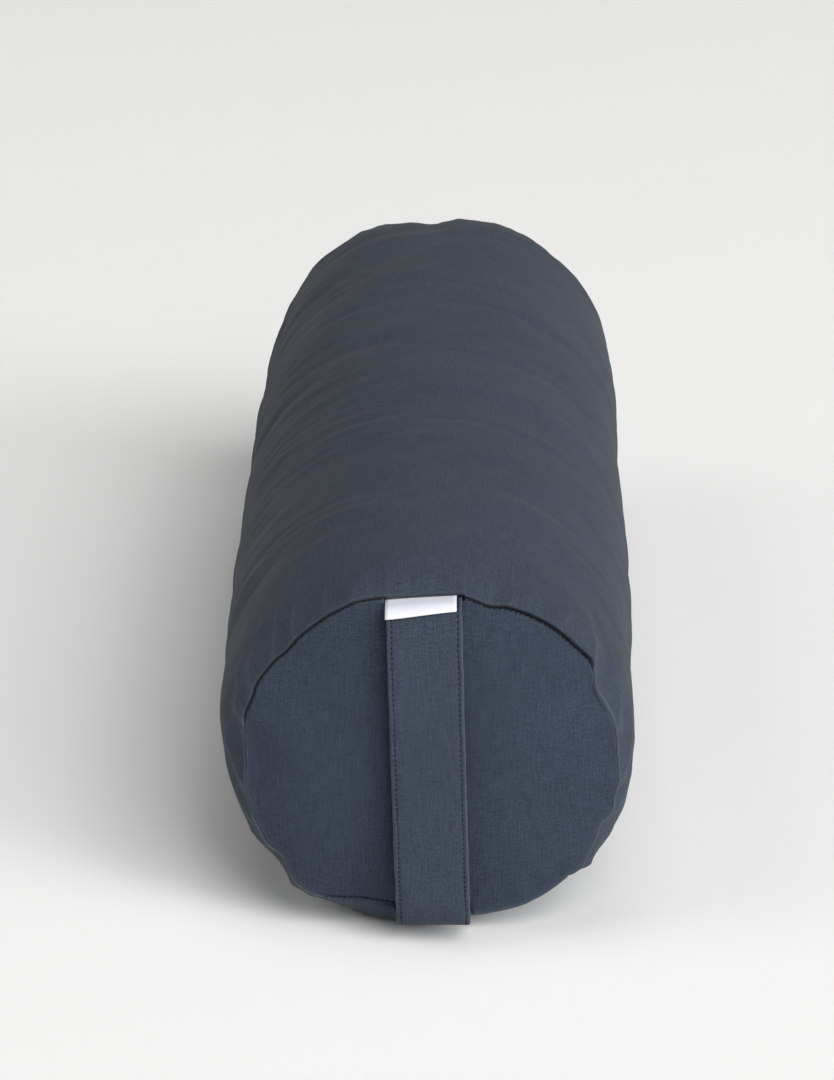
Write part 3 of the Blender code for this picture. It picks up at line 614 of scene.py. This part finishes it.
def bodyShape(angles, ys):
    # where the cloth of the body lies, and how pale it is painted there: rubbed wear and a painted
    # highlight
    middle = (frontSeam + rearSeam) / 2
    places = np.zeros((len(angles), 3))
    wornAndLit = np.zeros(len(angles))
    for end in (-1, 1):
        chosen = (ys < middle) == (end < 0)
        a, y = angles[chosen], ys[chosen]
        depth = np.maximum(0, -end * (y - seamPlaces[end]))
        opened = readRound(a, seamOpens[end])
        x, z = ovalAt(a, depth, opened)
        # the cloth rolls over under a lifted seam, down to the floor
        rolled = bell(turnFrom(a, cover["rollAngle"]) / cover["rollSpan"]) if end < 0 else 0 * a
        fade = bell(depth / (cover["seamFade"] * (1 - 0.8 * rolled)))
        sunk, rubbedAndLit = pleatsAt(a, depth, end)
        turn = np.radians(a)
        gather = np.sin(turn * 47 + 3 * np.sin(turn * 5)) + 0.6 * np.sin(turn * 83 + 2 * np.sin(turn * 7))
        gather *= cover["gather"] * fading(depth, cover["gatherReach"]) * risen(depth, cover["gatherStart"])
        folds, crests = crumpleAt(np.stack([x, y, z], axis=1), turn, depth)
        shift = seamBend(a, end) * fade - sunk + gather + cover["crumple"] * folds
        x, z = pushOut(x, z, shift)
        z = z + axisZ
        if end < 0:
            press = seamRing(a, end, True)[1] - seamCut(a, end)[1]
            z = z + press * bell(depth / cover["pressReach"])
        gape = np.clip(opened, 0, 1)
        lean = gape * (lipLean(depth) - bolster["sink"] * fading(depth, bolster["sinkReach"]))
        places[chosen] = np.stack([x, y + seamBob(turn, end, depth) + end * lean, z], axis=1)
        # fold ridges, crests and the edges of flush seams are painted paler: rubbed wear and a painted
        # highlight
        wornAndLit[chosen] = rubbedAndLit + cover["crestWornAndLit"] * crests
        wornAndLit[chosen] += cover["edgeWornAndLit"] * (1 - gape) * fading(depth, bolster["wornAndLitEdge"])
    # soft unevenness, wrinkles and swells
    settled = risen(np.minimum(ys - frontSeam, rearSeam - ys), cover["settle"])
    shift = cover["lump"] * (softNoise(places, 15, 1) + 0.45 * softNoise(places, 38, 5)) * settled
    for y, angle, span, width, height, lean in wrinkles:
        away = turnFrom(angles, angle)
        across = (ys - y - lean * away) / width
        near = (np.abs(across) < 3) & (np.abs(away) < 2.4 * span)
        shift[near] += (
            cover["wrinkleHeight"] * height * bell(across[near]) * bell(away[near] / span) * settled[near])
    shift += swellAt(angles, ys)
    # the cloth is calm beside the zip
    alongZip = plateau(ys, slotMiddle, slotReach + cover["zipCalm"], 0.8 * cover["zipCalm"])
    besideZip = plateau(angles, cover["zipAngle"] % 360, cover["zipCalmTurn"], 0.5 * cover["zipCalmTurn"])
    shift *= 1 - alongZip * besideZip
    x, z = pushOut(places[:, 0], places[:, 2] - axisZ, shift)
    over = np.maximum(0, x * zipOut.x + z * zipOut.z - cover["zipLevel"]) * alongZip
    x, z = x - over * zipOut.x, z - over * zipOut.z
    # the body panel's own seam runs on from both ends of the zip
    across = turnFrom(angles, cover["zipAngle"]) * math.pi / 180 * bolster["halfWidth"]
    pastSlot = 1 - plateau(ys, slotMiddle, slotReach, cover["zipSeamSoft"])
    groove = cover["zipSeamDepth"] * bell(across / cover["zipSeamWidth"]) * pastSlot
    x, z = x - groove * zipOut.x, z - groove * zipOut.z + axisZ
    # pressed flat on the floor, with a soft turn at the edge of the flat
    z = np.where(z < 10 * cover["floorTurn"], 0.5 * (z + np.sqrt(z * z + cover["floorTurn"] ** 2)), z)
    places[:, 0], places[:, 2] = x, np.maximum(z, 0.0002)
    return places, np.clip(wornAndLit, 0, 1)


def ringPlaces():
    depths, step = [0.0], 0.00016
    while depths[-1] < 0.305:
        depths.append(depths[-1] + step)
        step = min(0.0038, step * 1.11)
    front = [frontSeam + d for d in depths if frontSeam + d < 0.004]
    rear = [rearSeam - d for d in depths if rearSeam - d > 0.006]
    places = sorted(front + rear)
    for edge in (cover["slotFront"], cover["slotRear"]):
        nearest = min(range(len(places)), key=lambda i: abs(places[i] - edge))
        places[nearest] = edge
    return places


slotTurn = math.degrees(math.asin(cover["slotHalf"] / bolster["halfWidth"]))


def turnedAngle(angle):
    # columns near the zip shift a little, so that two of them are the edges of its slot
    step = 360 / bolster["columns"]
    offset = turnFrom(angle, cover["zipAngle"])
    columns, wanted = abs(offset) / step, slotTurn / step
    near, far = 4, 20
    if columns <= near:
        columns = columns * wanted / near
    elif columns <= far:
        columns = wanted + (columns - near) * (far - wanted) / (far - near)
    return (cover["zipAngle"] + math.copysign(columns * step, offset)) % 360


def spunCloth(points):
    # spins a line of radii and ys: gives the mesh, its layers and the angles of its corners
    bm = bmesh.new()
    wornAndLitLayer = bm.verts.layers.float.new("wornAndLit")
    uvLayer = bm.loops.layers.uv.new("clothUV")
    line = [(radius, y, axisZ) for radius, y in points]
    spinLine(bm, line, (0, 0, axisZ), (0, 1, 0), bolster["columns"])
    bm.verts.index_update()
    angles = [turnedAngle(math.degrees(math.atan2(v.co.z - axisZ, v.co.x))) for v in bm.verts]
    return bm, wornAndLitLayer, uvLayer, np.array(angles)


def shapeCloth(bm, wornAndLitLayer, places, wornAndLit):
    for v, place, rubAndLit in zip(bm.verts, places, wornAndLit):
        v.co, v[wornAndLitLayer] = place, rubAndLit


def finishCloth(name, bm, material, node):
    piece = addPiece(name, bm, material)
    addWall(piece, bolster["cloth"], -1)
    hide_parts(node)


def makeCoverBody():
    bm, wornAndLitLayer, uvLayer, angles = spunCloth([(bolster["halfWidth"], y) for y in ringPlaces()])
    ys = np.array([v.co.y for v in bm.verts])
    aroundAt = np.radians(angles) * bolster["halfWidth"]
    roundLength = 2 * math.pi * bolster["halfWidth"]
    inSlot, slack = [], 1e-6
    for face in bm.faces:
        first = aroundAt[face.verts[0].index]
        for loop in face.loops:
            u = aroundAt[loop.vert.index]
            loop[uvLayer].uv = (u - roundLength * round((u - first) / roundLength), ys[loop.vert.index])
        turns = [abs(turnFrom(angles[v.index], cover["zipAngle"])) for v in face.verts]
        along = [abs(ys[v.index] - slotMiddle) for v in face.verts]
        if max(turns) <= slotTurn + slack and max(along) <= slotReach + slack:
            inSlot.append(face)
    shapeCloth(bm, wornAndLitLayer, *bodyShape(angles, ys))
    seamEdges = {
        end: [e for e in bm.edges if all(abs(ys[v.index] - seam) < slack for v in e.verts)]
        for end, seam in seamPlaces.items()}
    bmesh.ops.delete(bm, geom=inSlot, context="FACES")
    alignFaces(bm)
    # the slot's edges are folded under
    rim = [e for e in bm.edges if e.is_boundary and e not in seamEdges[-1] and e not in seamEdges[1]]
    hem = set(bm.faces)
    for sink, spread in ((0.0005, -0.00045), (0.0010, 0.0), (0.0006, 0.0008), (0.0, 0.0030)):
        moved, rim = pullEdges(bm, rim)
        for v in moved:
            side = math.copysign(1, (v.co - zipFlat).dot(zipAcross))
            v.co += zipAcross * side * spread - zipOut * sink
    layCloth(
        [f for f in bm.faces if f not in hem], uvLayer,
        lambda v: (abs((v.co - zipFlat).dot(zipAcross)) - (v.co - zipFlat).dot(zipOut), v.co.y))
    # the seam allowances turn in at both ends
    for end in (-1, 1):
        rim = seamEdges[end]
        for push in (0.0008, bolster["allowance"] - 0.0008):
            moved, rim = pullEdges(bm, rim)
            bmesh.ops.translate(bm, verts=moved, vec=(0, -end * push, 0))
    finishCloth("coverBody", bm, bodyTwill, "cover_body")


makeCoverBody()
print("cover body made")

# round end panels

panel = {
    "bulge": frontSeam - panelLow[1] + 0.0015,  # stuffed a little fuller than it was cut
    "domePower": 0.8,
    "turn": 0.007,
    "rings": 34,
    "crease": 0.35,  # share of a body crease that runs on into the panel
    "creaseReach": 0.016,
    "creaseStart": 0.003,
    "rimReach": 0.020,  # how far in the bends of the seam still show
    "lump": 0.0007,
    "crumple": 0.0010,
    # how pale the rim of a flush seam is painted: rubbed wear and a painted highlight
    "edgeWornAndLit": 0.45,
}


def panelShape(angles, shares, end):
    seam = seamPlaces[end]
    opened = readRound(angles, seamOpens[end])
    ringX, ringZ = seamRing(angles, end, False)
    ringZ = ringZ - axisZ
    plainX, plainZ = ovalAt(angles, 0, 1)
    rim = 1 - panelGap / np.hypot(ringX, ringZ)
    inward = (1 - shares) * bolster["seamHalfWidth"]
    keep = bell(inward / panel["rimReach"])
    x = shares * (plainX + (ringX * rim - plainX) * keep)
    z = shares * (plainZ + (ringZ * rim - plainZ) * keep)
    rise = panel["bulge"] * (1 - shares ** 2) ** panel["domePower"]
    gape = np.clip(opened, 0, 1)
    rise *= 1 - 0.85 * (1 - gape) * fading(inward, panel["turn"])
    rise -= gape * bolster["sink"] * fading(inward, bolster["sinkReach"])
    spread = 1 + gape * lipLean(inward) / np.hypot(x, z).clip(0.001)
    x, z = x * spread, z * spread
    sunk = pleatsAt(angles, 0.006 + 0 * angles, end)[0]
    creased = bell(inward / panel["creaseReach"]) * risen(inward, panel["creaseStart"])
    rise -= panel["crease"] * sunk * creased
    spots = np.stack([x, seam + 0 * x, z], axis=1)
    rise += panel["lump"] * softNoise(spots, 20, 9 + end) * risen(inward, 0.01)
    turn = np.radians(angles)
    rise += panel["crumple"] * crumpleAt(spots, turn, inward)[0]
    ys = seam + end * rise + seamBob(turn, end, inward)
    places = np.stack([x, ys, z + axisZ], axis=1)
    # the rim of a flush seam is painted paler: rubbed wear and a painted highlight
    wornAndLit = panel["edgeWornAndLit"] * (1 - gape) * fading(inward, bolster["wornAndLitEdge"])
    return places, np.clip(wornAndLit, 0, 1)


def makeEndPanel(name, end, node):
    steps = [math.sin(0.5 * math.pi * i / panel["rings"]) ** 0.8 for i in range(panel["rings"] + 1)]
    bm, wornAndLitLayer, uvLayer, angles = spunCloth([(s * bolster["seamHalfWidth"], 0) for s in steps])
    radii = np.array([math.hypot(v.co.x, v.co.z - axisZ) for v in bm.verts])
    shares = np.minimum(1.0, radii / bolster["seamHalfWidth"])
    shares[shares > 1 - 1e-5] = 1.0
    shapeCloth(bm, wornAndLitLayer, *panelShape(angles, shares, end))
    layCloth(bm.faces, uvLayer, lambda v: (v.co.x, v.co.z))
    alignFaces(bm, Vector((0, end, 0)), axisZ)
    rim = [e for e in bm.edges if e.is_boundary]
    bmesh.ops.translate(bm, verts=pullEdges(bm, rim)[0], vec=(0, -end * bolster["allowance"], 0))
    finishCloth(name, bm, panelTwillPaintedShade, node)


makeEndPanel("frontEndPanel", -1, "front_end_panel")
makeEndPanel("rearEndPanel", 1, "rear_end_panel")
print("end panels made")

# carry handle

handle = {
    "reach": frontSeam - strapLow[1],  # from the seam to the strap's outer face
    "lead": 0.005,
    "upperPower": 2.6,
    "lowerPower": 4.5,  # its foot turns under tightly
    "tuck": 0.0057,
    "tiltReach": 0.03,  # how far down the tilt of its top seam shows
    "wave": 0.00035,
    "ripple": 0.0003,  # of its edges
    # how pale the strap's folded edges are painted, and below how far in: rubbed wear and a painted
    # highlight
    "edgeWornAndLit": 0.55,
    "wornAndLitEdge": 0.0010,
    "stitchInset": 0.0025,
}


def archPath(steps):
    reach = handle["reach"] - seat["strap"] / 2 - handle["lead"]
    middle, half = (strapTop + strapFoot) / 2, (strapTop - strapFoot) / 2
    path = [Vector((0, frontSeam + handle["tuck"], strapTop))]
    for i in range(steps + 1):
        angle = math.pi / 2 - math.pi * i / steps
        power = 2 / (handle["upperPower"] if angle > 0 else handle["lowerPower"])
        rise = math.copysign(abs(math.sin(angle)) ** power, angle)
        out = max(0.0, math.cos(angle)) ** power
        path.append(Vector((0, frontSeam - handle["lead"] - reach * out, middle + half * rise)))
    return path + [Vector((0, frontSeam + handle["tuck"], strapFoot))]


def evenly(path, step):
    # the same line with a point every step, and the length run at each
    runs = [0.0]
    for last, point in zip(path, path[1:]):
        runs.append(runs[-1] + (point - last).length)
    count = round(runs[-1] / step)
    points, at = [], 0
    for i in range(count + 1):
        want = runs[-1] * i / count
        while at < len(runs) - 2 and runs[at + 1] < want:
            at += 1
        share = (want - runs[at]) / max(runs[at + 1] - runs[at], 1e-9)
        points.append(path[at].lerp(path[at + 1], min(1.0, share)))
    return points, runs[-1] / count


strapLine, strapStep = evenly(archPath(120), 0.0018)
for point in strapLine:
    share = (strapTop - point.z) / (strapTop - strapFoot)
    point.x = strapTopX + (strapFootX - strapTopX) * share


def strapNormal(i):
    along = strapLine[min(i + 1, len(strapLine) - 1)] - strapLine[max(i - 1, 0)]
    return Vector((0, along.z, -along.y)).normalized()


def alongStrap(run):
    # a place on the strap's middle line and the way out from it there
    at = max(0.0, min(len(strapLine) - 1.001, run / strapStep))
    low = int(at)
    outward = strapNormal(low).lerp(strapNormal(low + 1), at - low).normalized()
    return strapLine[low].lerp(strapLine[low + 1], at - low), outward


def tiltAt(x, here):
    # the strap's top edge follows the seam
    fade = math.exp(-((strapTop - here.z) / handle["tiltReach"]) ** 2)
    return Vector((0, 0, seat["tilt"] * x * fade))


def strapProfile():
    # across the strap, from its left edge: the folded edges are full, the stitch lines sink in
    half, thin, inset = strapHalf, seat["strap"] / 2, handle["stitchInset"]
    face = [
        (half - inward, out * thin) for inward, out in (
            (0.0002, 0.45), (0.0006, 0.85), (0.0013, 0.98), (inset - 0.0004, 0.82), (inset, 0.60),
            (inset + 0.0004, 0.82), (inset + 0.0012, 0.95), (0.0070, 1.0), (half * 0.67, 0.97))]
    right = [(half, 0.0)] + face
    front = right + [(-x, out) for x, out in face[::-1]]
    return front + [(-half, 0.0)] + [(-x, -out) for x, out in face] + [(x, -out) for x, out in face[::-1]]


def makeStrap():
    bm = bmesh.new()
    wornAndLit = bm.verts.layers.float.new("wornAndLit")
    uvLayer = bm.loops.layers.uv.new("clothUV")
    profile = strapProfile()
    start, outward = strapLine[0], strapNormal(0)
    ring = [bm.verts.new(start + Vector((x, 0, 0)) + outward * out) for x, out in profile]
    edges = [bm.edges.new(pair) for pair in zip(ring, ring[1:] + ring[:1])]
    lengthAt = dict.fromkeys(ring, 0.0)
    acrossAt = dict(zip(ring, profile))
    order = ring
    for i in range(1, len(strapLine)):
        moved = set(pullEdges(bm, edges)[0])
        # each new corner lies straight behind the one it was pulled from
        fresh = [next(e.other_vert(v) for e in v.link_edges if e.other_vert(v) in moved) for v in order]
        here, outward = strapLine[i], strapNormal(i)
        for v, (x, out) in zip(fresh, profile):
            wave = handle["wave"] * noise.noise(Vector((x * 60, i * strapStep * 45, 4.0)))
            ripple = handle["ripple"] * noise.noise(Vector((math.copysign(1, x), i * strapStep * 90, 9.0)))
            v.co = here + Vector((x + ripple, 0, 0)) + outward * (out + wave) + tiltAt(x, here)
            lengthAt[v], acrossAt[v] = i * strapStep, (x, out)
        order = fresh
        edges = [bm.edges.get(pair) for pair in zip(fresh, fresh[1:] + fresh[:1])]
    bmesh.ops.holes_fill(bm, edges=[e for e in bm.edges if e.is_boundary], sides=0)
    alignFaces(bm)
    layCloth(bm.faces, uvLayer, lambda v: (acrossAt[v][0] + 0.002 * (acrossAt[v][1] < 0), lengthAt[v]))
    # the strap is painted paler near both folded edges: rubbed wear and a painted highlight
    for v in bm.verts:
        inward = strapHalf - abs(acrossAt[v][0])
        v[wornAndLit] = handle["edgeWornAndLit"] * max(0.0, 1 - inward / handle["wornAndLitEdge"])
    piece = addPiece("carryStrap", bm, strapTwill)
    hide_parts("carry_handle")


makeStrap()
print("carry strap made")

# stitches

stitch = {
    "pitch": 0.0029,
    "strap": (0.0016, 0.0009),  # length and width of the ones that topstitch the strap
    "seam": (0.0017, 0.0008),
    "zip": (0.0018, 0.0008),
}


def addStitches(name, seats, length, width):
    # a seat is (middle, direction, outward); a stitch is a short rod of thread with rounded ends
    rod = bmesh.new()
    bmesh.ops.create_cone(
        rod, cap_ends=True, segments=8, radius1=width / 2, radius2=width / 2, depth=length * 0.5)
    for cap in [f for f in rod.faces if len(f.verts) == 8]:
        side = math.copysign(1, cap.calc_center_median().z)
        tips = newVerts(bmesh.ops.extrude_face_region(rod, geom=[cap])["geom"])
        bmesh.ops.translate(rod, verts=tips, vec=(-width * 0.3, 0, side * length * 0.25))
        bmesh.ops.scale(rod, verts=tips, vec=(0.55, 0.55, 1.0))
        bmesh.ops.delete(rod, geom=[cap], context="FACES_ONLY")
    alignFaces(rod)
    one = bpy.data.meshes.new("oneStitch")
    rod.to_mesh(one)
    rod.free()
    bm = bmesh.new()
    for _ in seats:
        bm.from_mesh(one)
    bm.verts.ensure_lookup_table()
    size = len(one.vertices)
    for i, (middle, along, outward) in enumerate(seats):
        side = along.cross(outward).normalized()
        turn = Matrix.Translation(middle) @ Matrix((outward, side, along)).transposed().to_4x4()
        for v in bm.verts[i * size:(i + 1) * size]:
            v.co = turn @ v.co
    bpy.data.meshes.remove(one)
    addPiece(name, bm, threadPaintedShade)


def strapSeats():
    seats = []
    count = int(strapStep * (len(strapLine) - 1) / stitch["pitch"])
    for side in (-1, 1):
        offset = side * (strapHalf - handle["stitchInset"])
        for i in range(2, count - 2):
            run = i * stitch["pitch"]
            here, outward = alongStrap(run)
            along = (alongStrap(run + 0.5 * strapStep)[0] - here).normalized()
            for face in (1, -1):
                middle = here + outward * face * seat["strap"] / 2 * 0.72
                middle = middle + Vector((offset, 0, 0)) + tiltAt(offset, here)
                seats.append((middle, along, outward * face))
    return seats


def seamSeats(end):
    # stitches that show in the groove of an end seam, where it gapes
    seam = seamPlaces[end]
    around = np.arange(0.0, 360.0, math.degrees(stitch["pitch"] / bolster["seamHalfWidth"]))
    x, z = seamRing(around, end, False)
    bob = seamBob(np.radians(around), end, 0 * around)
    points = [Vector((px, seam + b, pz)) for px, pz, b in zip(x, z, bob)]
    gape = readRound(around, seamOpens[end])
    centre = Vector((0, seam, axisZ))
    seats = []
    for i, point in enumerate(points):
        if gape[i] > 0.5:
            along = (points[(i + 1) % len(points)] - points[i - 1]).normalized()
            outward = ((point - centre).normalized() + Vector((0, end, 0))).normalized()
            seats.append((point + outward * 0.0007, along, outward))
    return seats


addStitches("strapStitches", strapSeats(), *stitch["strap"])
addStitches("frontSeamStitches", seamSeats(-1), *stitch["seam"])
addStitches("rearSeamStitches", seamSeats(1), *stitch["seam"])
print("stitches made")

# label

label = {
    "half": 0.0189,
    "side": -0.0018,  # it was sewn in a little left of the strap's middle
    "drop": 0.0136,
    "thickness": 0.00045,
    "fold": 0.0006,
    "slant": 0.13,  # its right side is drawn up into the seam
    "lift": 0.0009,  # its free end stands off the strap, most at the left
    "wave": 0.0004,
}


def makeLabel():
    bm = bmesh.new()
    uvLayer = bm.loops.layers.uv.new("clothUV")
    # one strip, folded in half: down the front, round the fold and up behind
    drop = label["drop"] + handle["tuck"]
    turnLength = math.pi * label["fold"]
    total = 2 * drop + turnLength
    bmesh.ops.create_grid(bm, x_segments=18, y_segments=44, size=0.5)
    layCloth(bm.faces, uvLayer, lambda v: (v.co.x * 2 * label["half"], v.co.y * total))
    for v in bm.verts:
        # across is -1 at its left edge and 1 at its right one
        across, run = v.co.x * 2, (v.co.y + 0.5) * total
        if run <= drop:
            along, out = run, 2 * label["fold"]
        elif run <= drop + turnLength:
            turn = (run - drop) / label["fold"]
            along, out = drop + label["fold"] * math.sin(turn), label["fold"] * (1 + math.cos(turn))
        else:
            along, out = total - run, 0.0
        shown = max(0.0, along - handle["tuck"])
        along = min(along, handle["tuck"]) + shown * (1 - label["slant"] * ((across + 1) / 2) ** 1.4)
        here, outward = alongStrap(along)
        share = shown / label["drop"]
        lift = label["lift"] * share ** 2 * (2 - across) / 2
        lift += label["wave"] * share * math.sin(across * 2.4 + 1)
        offset = across * label["half"] + label["side"]
        v.co = here + Vector((offset, 0, 0)) + tiltAt(offset, here) + outward * (
            seat["strap"] / 2 + 0.0002 + out * 0.7 + lift)
    alignFaces(bm)
    piece = addPiece("seamLabel", bm, labelSatin)
    addWall(piece, label["thickness"], 0)
    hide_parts("seam_label")


makeLabel()
print("label made")

# zip

zipLook = {
    "toothEdge": 0.00014,  # how far the moulded edges are eased
    "metalEdge": 0.00022,
    "stitchOut": 0.0026,  # from the edge of the slot to the row of stitches
}

for node in ("zip_tape_upper", "zip_tape_lower"):
    for slot in bpy.data.objects[node].material_slots:
        slot.material = zipTape

coil = (coilPolyamide, zipLook["toothEdge"], "zip_teeth")
metal = (enamelledZinc, zipLook["metalEdge"], "zip_metal")
for name, node, body, (material, edge, slotName) in (
    ("zipTeethUpper", "zip_teeth_upper", "bolster", coil),
    ("zipTeethLower", "zip_teeth_lower", "bolster", coil),
    ("zipTopStopUpper", "zip_top_stop_upper", "bolster", metal),
    ("zipTopStopLower", "zip_top_stop_lower", "bolster", metal),
    ("zipBottomStop", "zip_bottom_stop", "bolster", metal),
    ("zipSlider", "zip_slider", "zip_slider", metal),
    ("zipPull", "zip_pull", "zip_pull", metal),
):
    # the frame's own shape with its edges eased
    bm = nodeMesh(node)
    bmesh.ops.dissolve_limit(bm, angle_limit=math.radians(2), verts=bm.verts, edges=bm.edges)
    piece = addPiece(name, bm, material, body=body)
    ease = piece.modifiers.new("easedEdges", "BEVEL")
    ease.width, ease.segments = edge, 2
    ease.limit_method, ease.angle_limit = "ANGLE", math.radians(30)
    ease.harden_normals = True
    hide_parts(node)


def zipSeats():
    # a row of stitches down each side of the slot and one across each end
    half = cover["slotHalf"] + zipLook["stitchOut"]
    low, high = cover["slotFront"] - zipLook["stitchOut"], cover["slotRear"] + zipLook["stitchOut"]
    steps = round((high - low) / stitch["pitch"])
    spots = [(side * half, low + (high - low) * i / steps, Vector((0, 1, 0)))
             for side in (-1, 1) for i in range(steps + 1)]
    steps = round(2 * half / stitch["pitch"])
    spots += [(-half + 2 * half * i / steps, y, zipAcross) for y in (low, high) for i in range(1, steps)]
    ways = [zipOut * cover["zipLevel"] + zipAcross * offset for offset, _, _ in spots]
    angles = np.array([math.degrees(math.atan2(way.z, way.x)) % 360 for way in ways])
    places, _ = bodyShape(angles, np.array([y for _, y, _ in spots]))
    return [(Vector(p) + zipOut * 0.0001, along, zipOut) for p, (_, _, along) in zip(places, spots)]


addStitches("zipStitches", zipSeats(), *stitch["zip"])

# inner bag and filling


def insideCover(places, gap):
    # keeps points this far inside the dented cover
    x, y, z = places[:, 0], places[:, 1], places[:, 2] - axisZ
    angles = np.degrees(np.arctan2(z, x)) % 360
    within = np.clip(y, frontSeam + 0.004, rearSeam - 0.004)
    skin, _ = bodyShape(angles, within)
    room = np.hypot(skin[:, 0], skin[:, 2] - axisZ) - gap
    radius = np.hypot(x, z).clip(1e-6)
    scale = np.minimum(1, room / radius)
    shares = np.clip(radius * scale / bolster["seamHalfWidth"], 0, 1)
    front, rear = (panelShape(angles, shares, end)[0][:, 1] for end in (-1, 1))
    y = np.clip(y, front + gap, rear - gap)
    return np.stack([x * scale, y, z * scale + axisZ], axis=1)


bag = (calico, 0.0026, 0.9)
fibre = (cottonFibre, 0.0042, 1.0)
for name, node, (material, gap, fill) in (
    ("innerBag", "liner_body", bag),
    ("innerBagFront", "liner_front_end", bag),
    ("innerBagRear", "liner_rear_end", bag),
    ("fibreFilling", "filling", fibre),
):
    bm = nodeMesh(node)
    for v, place in zip(bm.verts, insideCover(np.array([v.co for v in bm.verts]), gap)):
        v.co = place
    piece = addPiece(name, bm, material)
    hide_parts(node)
print("zip finished, inner bag made")

# floor, light and camera

studio = {
    "floor": "F5F5F4",
    "worldStrength": 0.04,
    "aim": (0, -0.2, 0.1),
    "lampFar": 12.0,
    "wallFar": 16.0,
    "wallTurn": 2.5,
    "wallHigh": 8.0,
    "key": (58, 42, 8.0, 1210.0),  # a tall window, to the front right: turn, rise, size, power
    "side": (30, 20, 6.0, 660.0),  # its low end, further round
    "fill": (165, 45, 6.0, 215.0),  # a pale wall on the left
    "top": (0, 90, 6.0, 200.0),  # a white ceiling
    "cameraPlace": (0.0320, -2.4287, 1.1183),
    "pitch": 22.63,
    "yaw": -1.0,
    "lens": 145.7,
}


def addLamp(name, turn, rise, size, power):
    # turn is in degrees from the right side to the front, rise in degrees above the floor
    lamp = bpy.data.lights.new(name, "AREA")
    lamp.energy, lamp.size = power, size
    hung = addObject(name, lamp)
    turn, rise = math.radians(turn), math.radians(rise)
    flat = math.cos(rise)
    way = Vector((math.cos(turn) * flat, -math.sin(turn) * flat, math.sin(rise)))
    hung.location = Vector(studio["aim"]) + way * studio["lampFar"]
    hung.rotation_euler = (-way).to_track_quat("-Z", "Y").to_euler()


def makeStudio():
    # a round floor that turns up into a wall, far outside the lamps
    bm = bmesh.new()
    wall, turn = studio["wallFar"], studio["wallTurn"]
    line = [(0, 0, 0), (wall - turn, 0, 0)]
    for i in range(1, 9):
        angle = math.pi / 2 * i / 8
        line.append((wall - turn + turn * math.sin(angle), 0, turn * (1 - math.cos(angle))))
    spinLine(bm, line + [(wall, 0, studio["wallHigh"])], (0, 0, 0), (0, 0, 1), 64)
    alignFaces(bm, Vector((0, 0, 1)))
    material, _, shader = newMaterial("paintedFloor", Roughness=0.9, Specular_IOR_Level=0.1)
    shader.inputs["Base Color"].default_value = toLinear(studio["floor"])
    floor = meshObject("studioFloor", bm, material)

    world = bpy.data.worlds.new("studioWorld")
    world.use_nodes = True
    sky = world.node_tree.nodes["Background"].inputs
    sky["Color"].default_value = toLinear("FFFFFF")
    sky["Strength"].default_value = studio["worldStrength"]
    bpy.context.scene.world = world

    for lamp in ("key", "side", "fill", "top"):
        addLamp(lamp + "Lamp", *studio[lamp])

    camera = bpy.data.cameras.new("camera")
    camera.lens, camera.sensor_width = studio["lens"], 36
    seen = addObject("camera", camera)
    seen.location = studio["cameraPlace"]
    pitch, yaw = math.radians(studio["pitch"]), math.radians(studio["yaw"])
    look = Vector((math.sin(yaw) * math.cos(pitch), math.cos(yaw) * math.cos(pitch), -math.sin(pitch)))
    seen.rotation_euler = look.to_track_quat("-Z", "Y").to_euler()
    bpy.context.scene.camera = seen
    bpy.context.scene.view_settings.view_transform = "Standard"


makeStudio()
print("studio made")
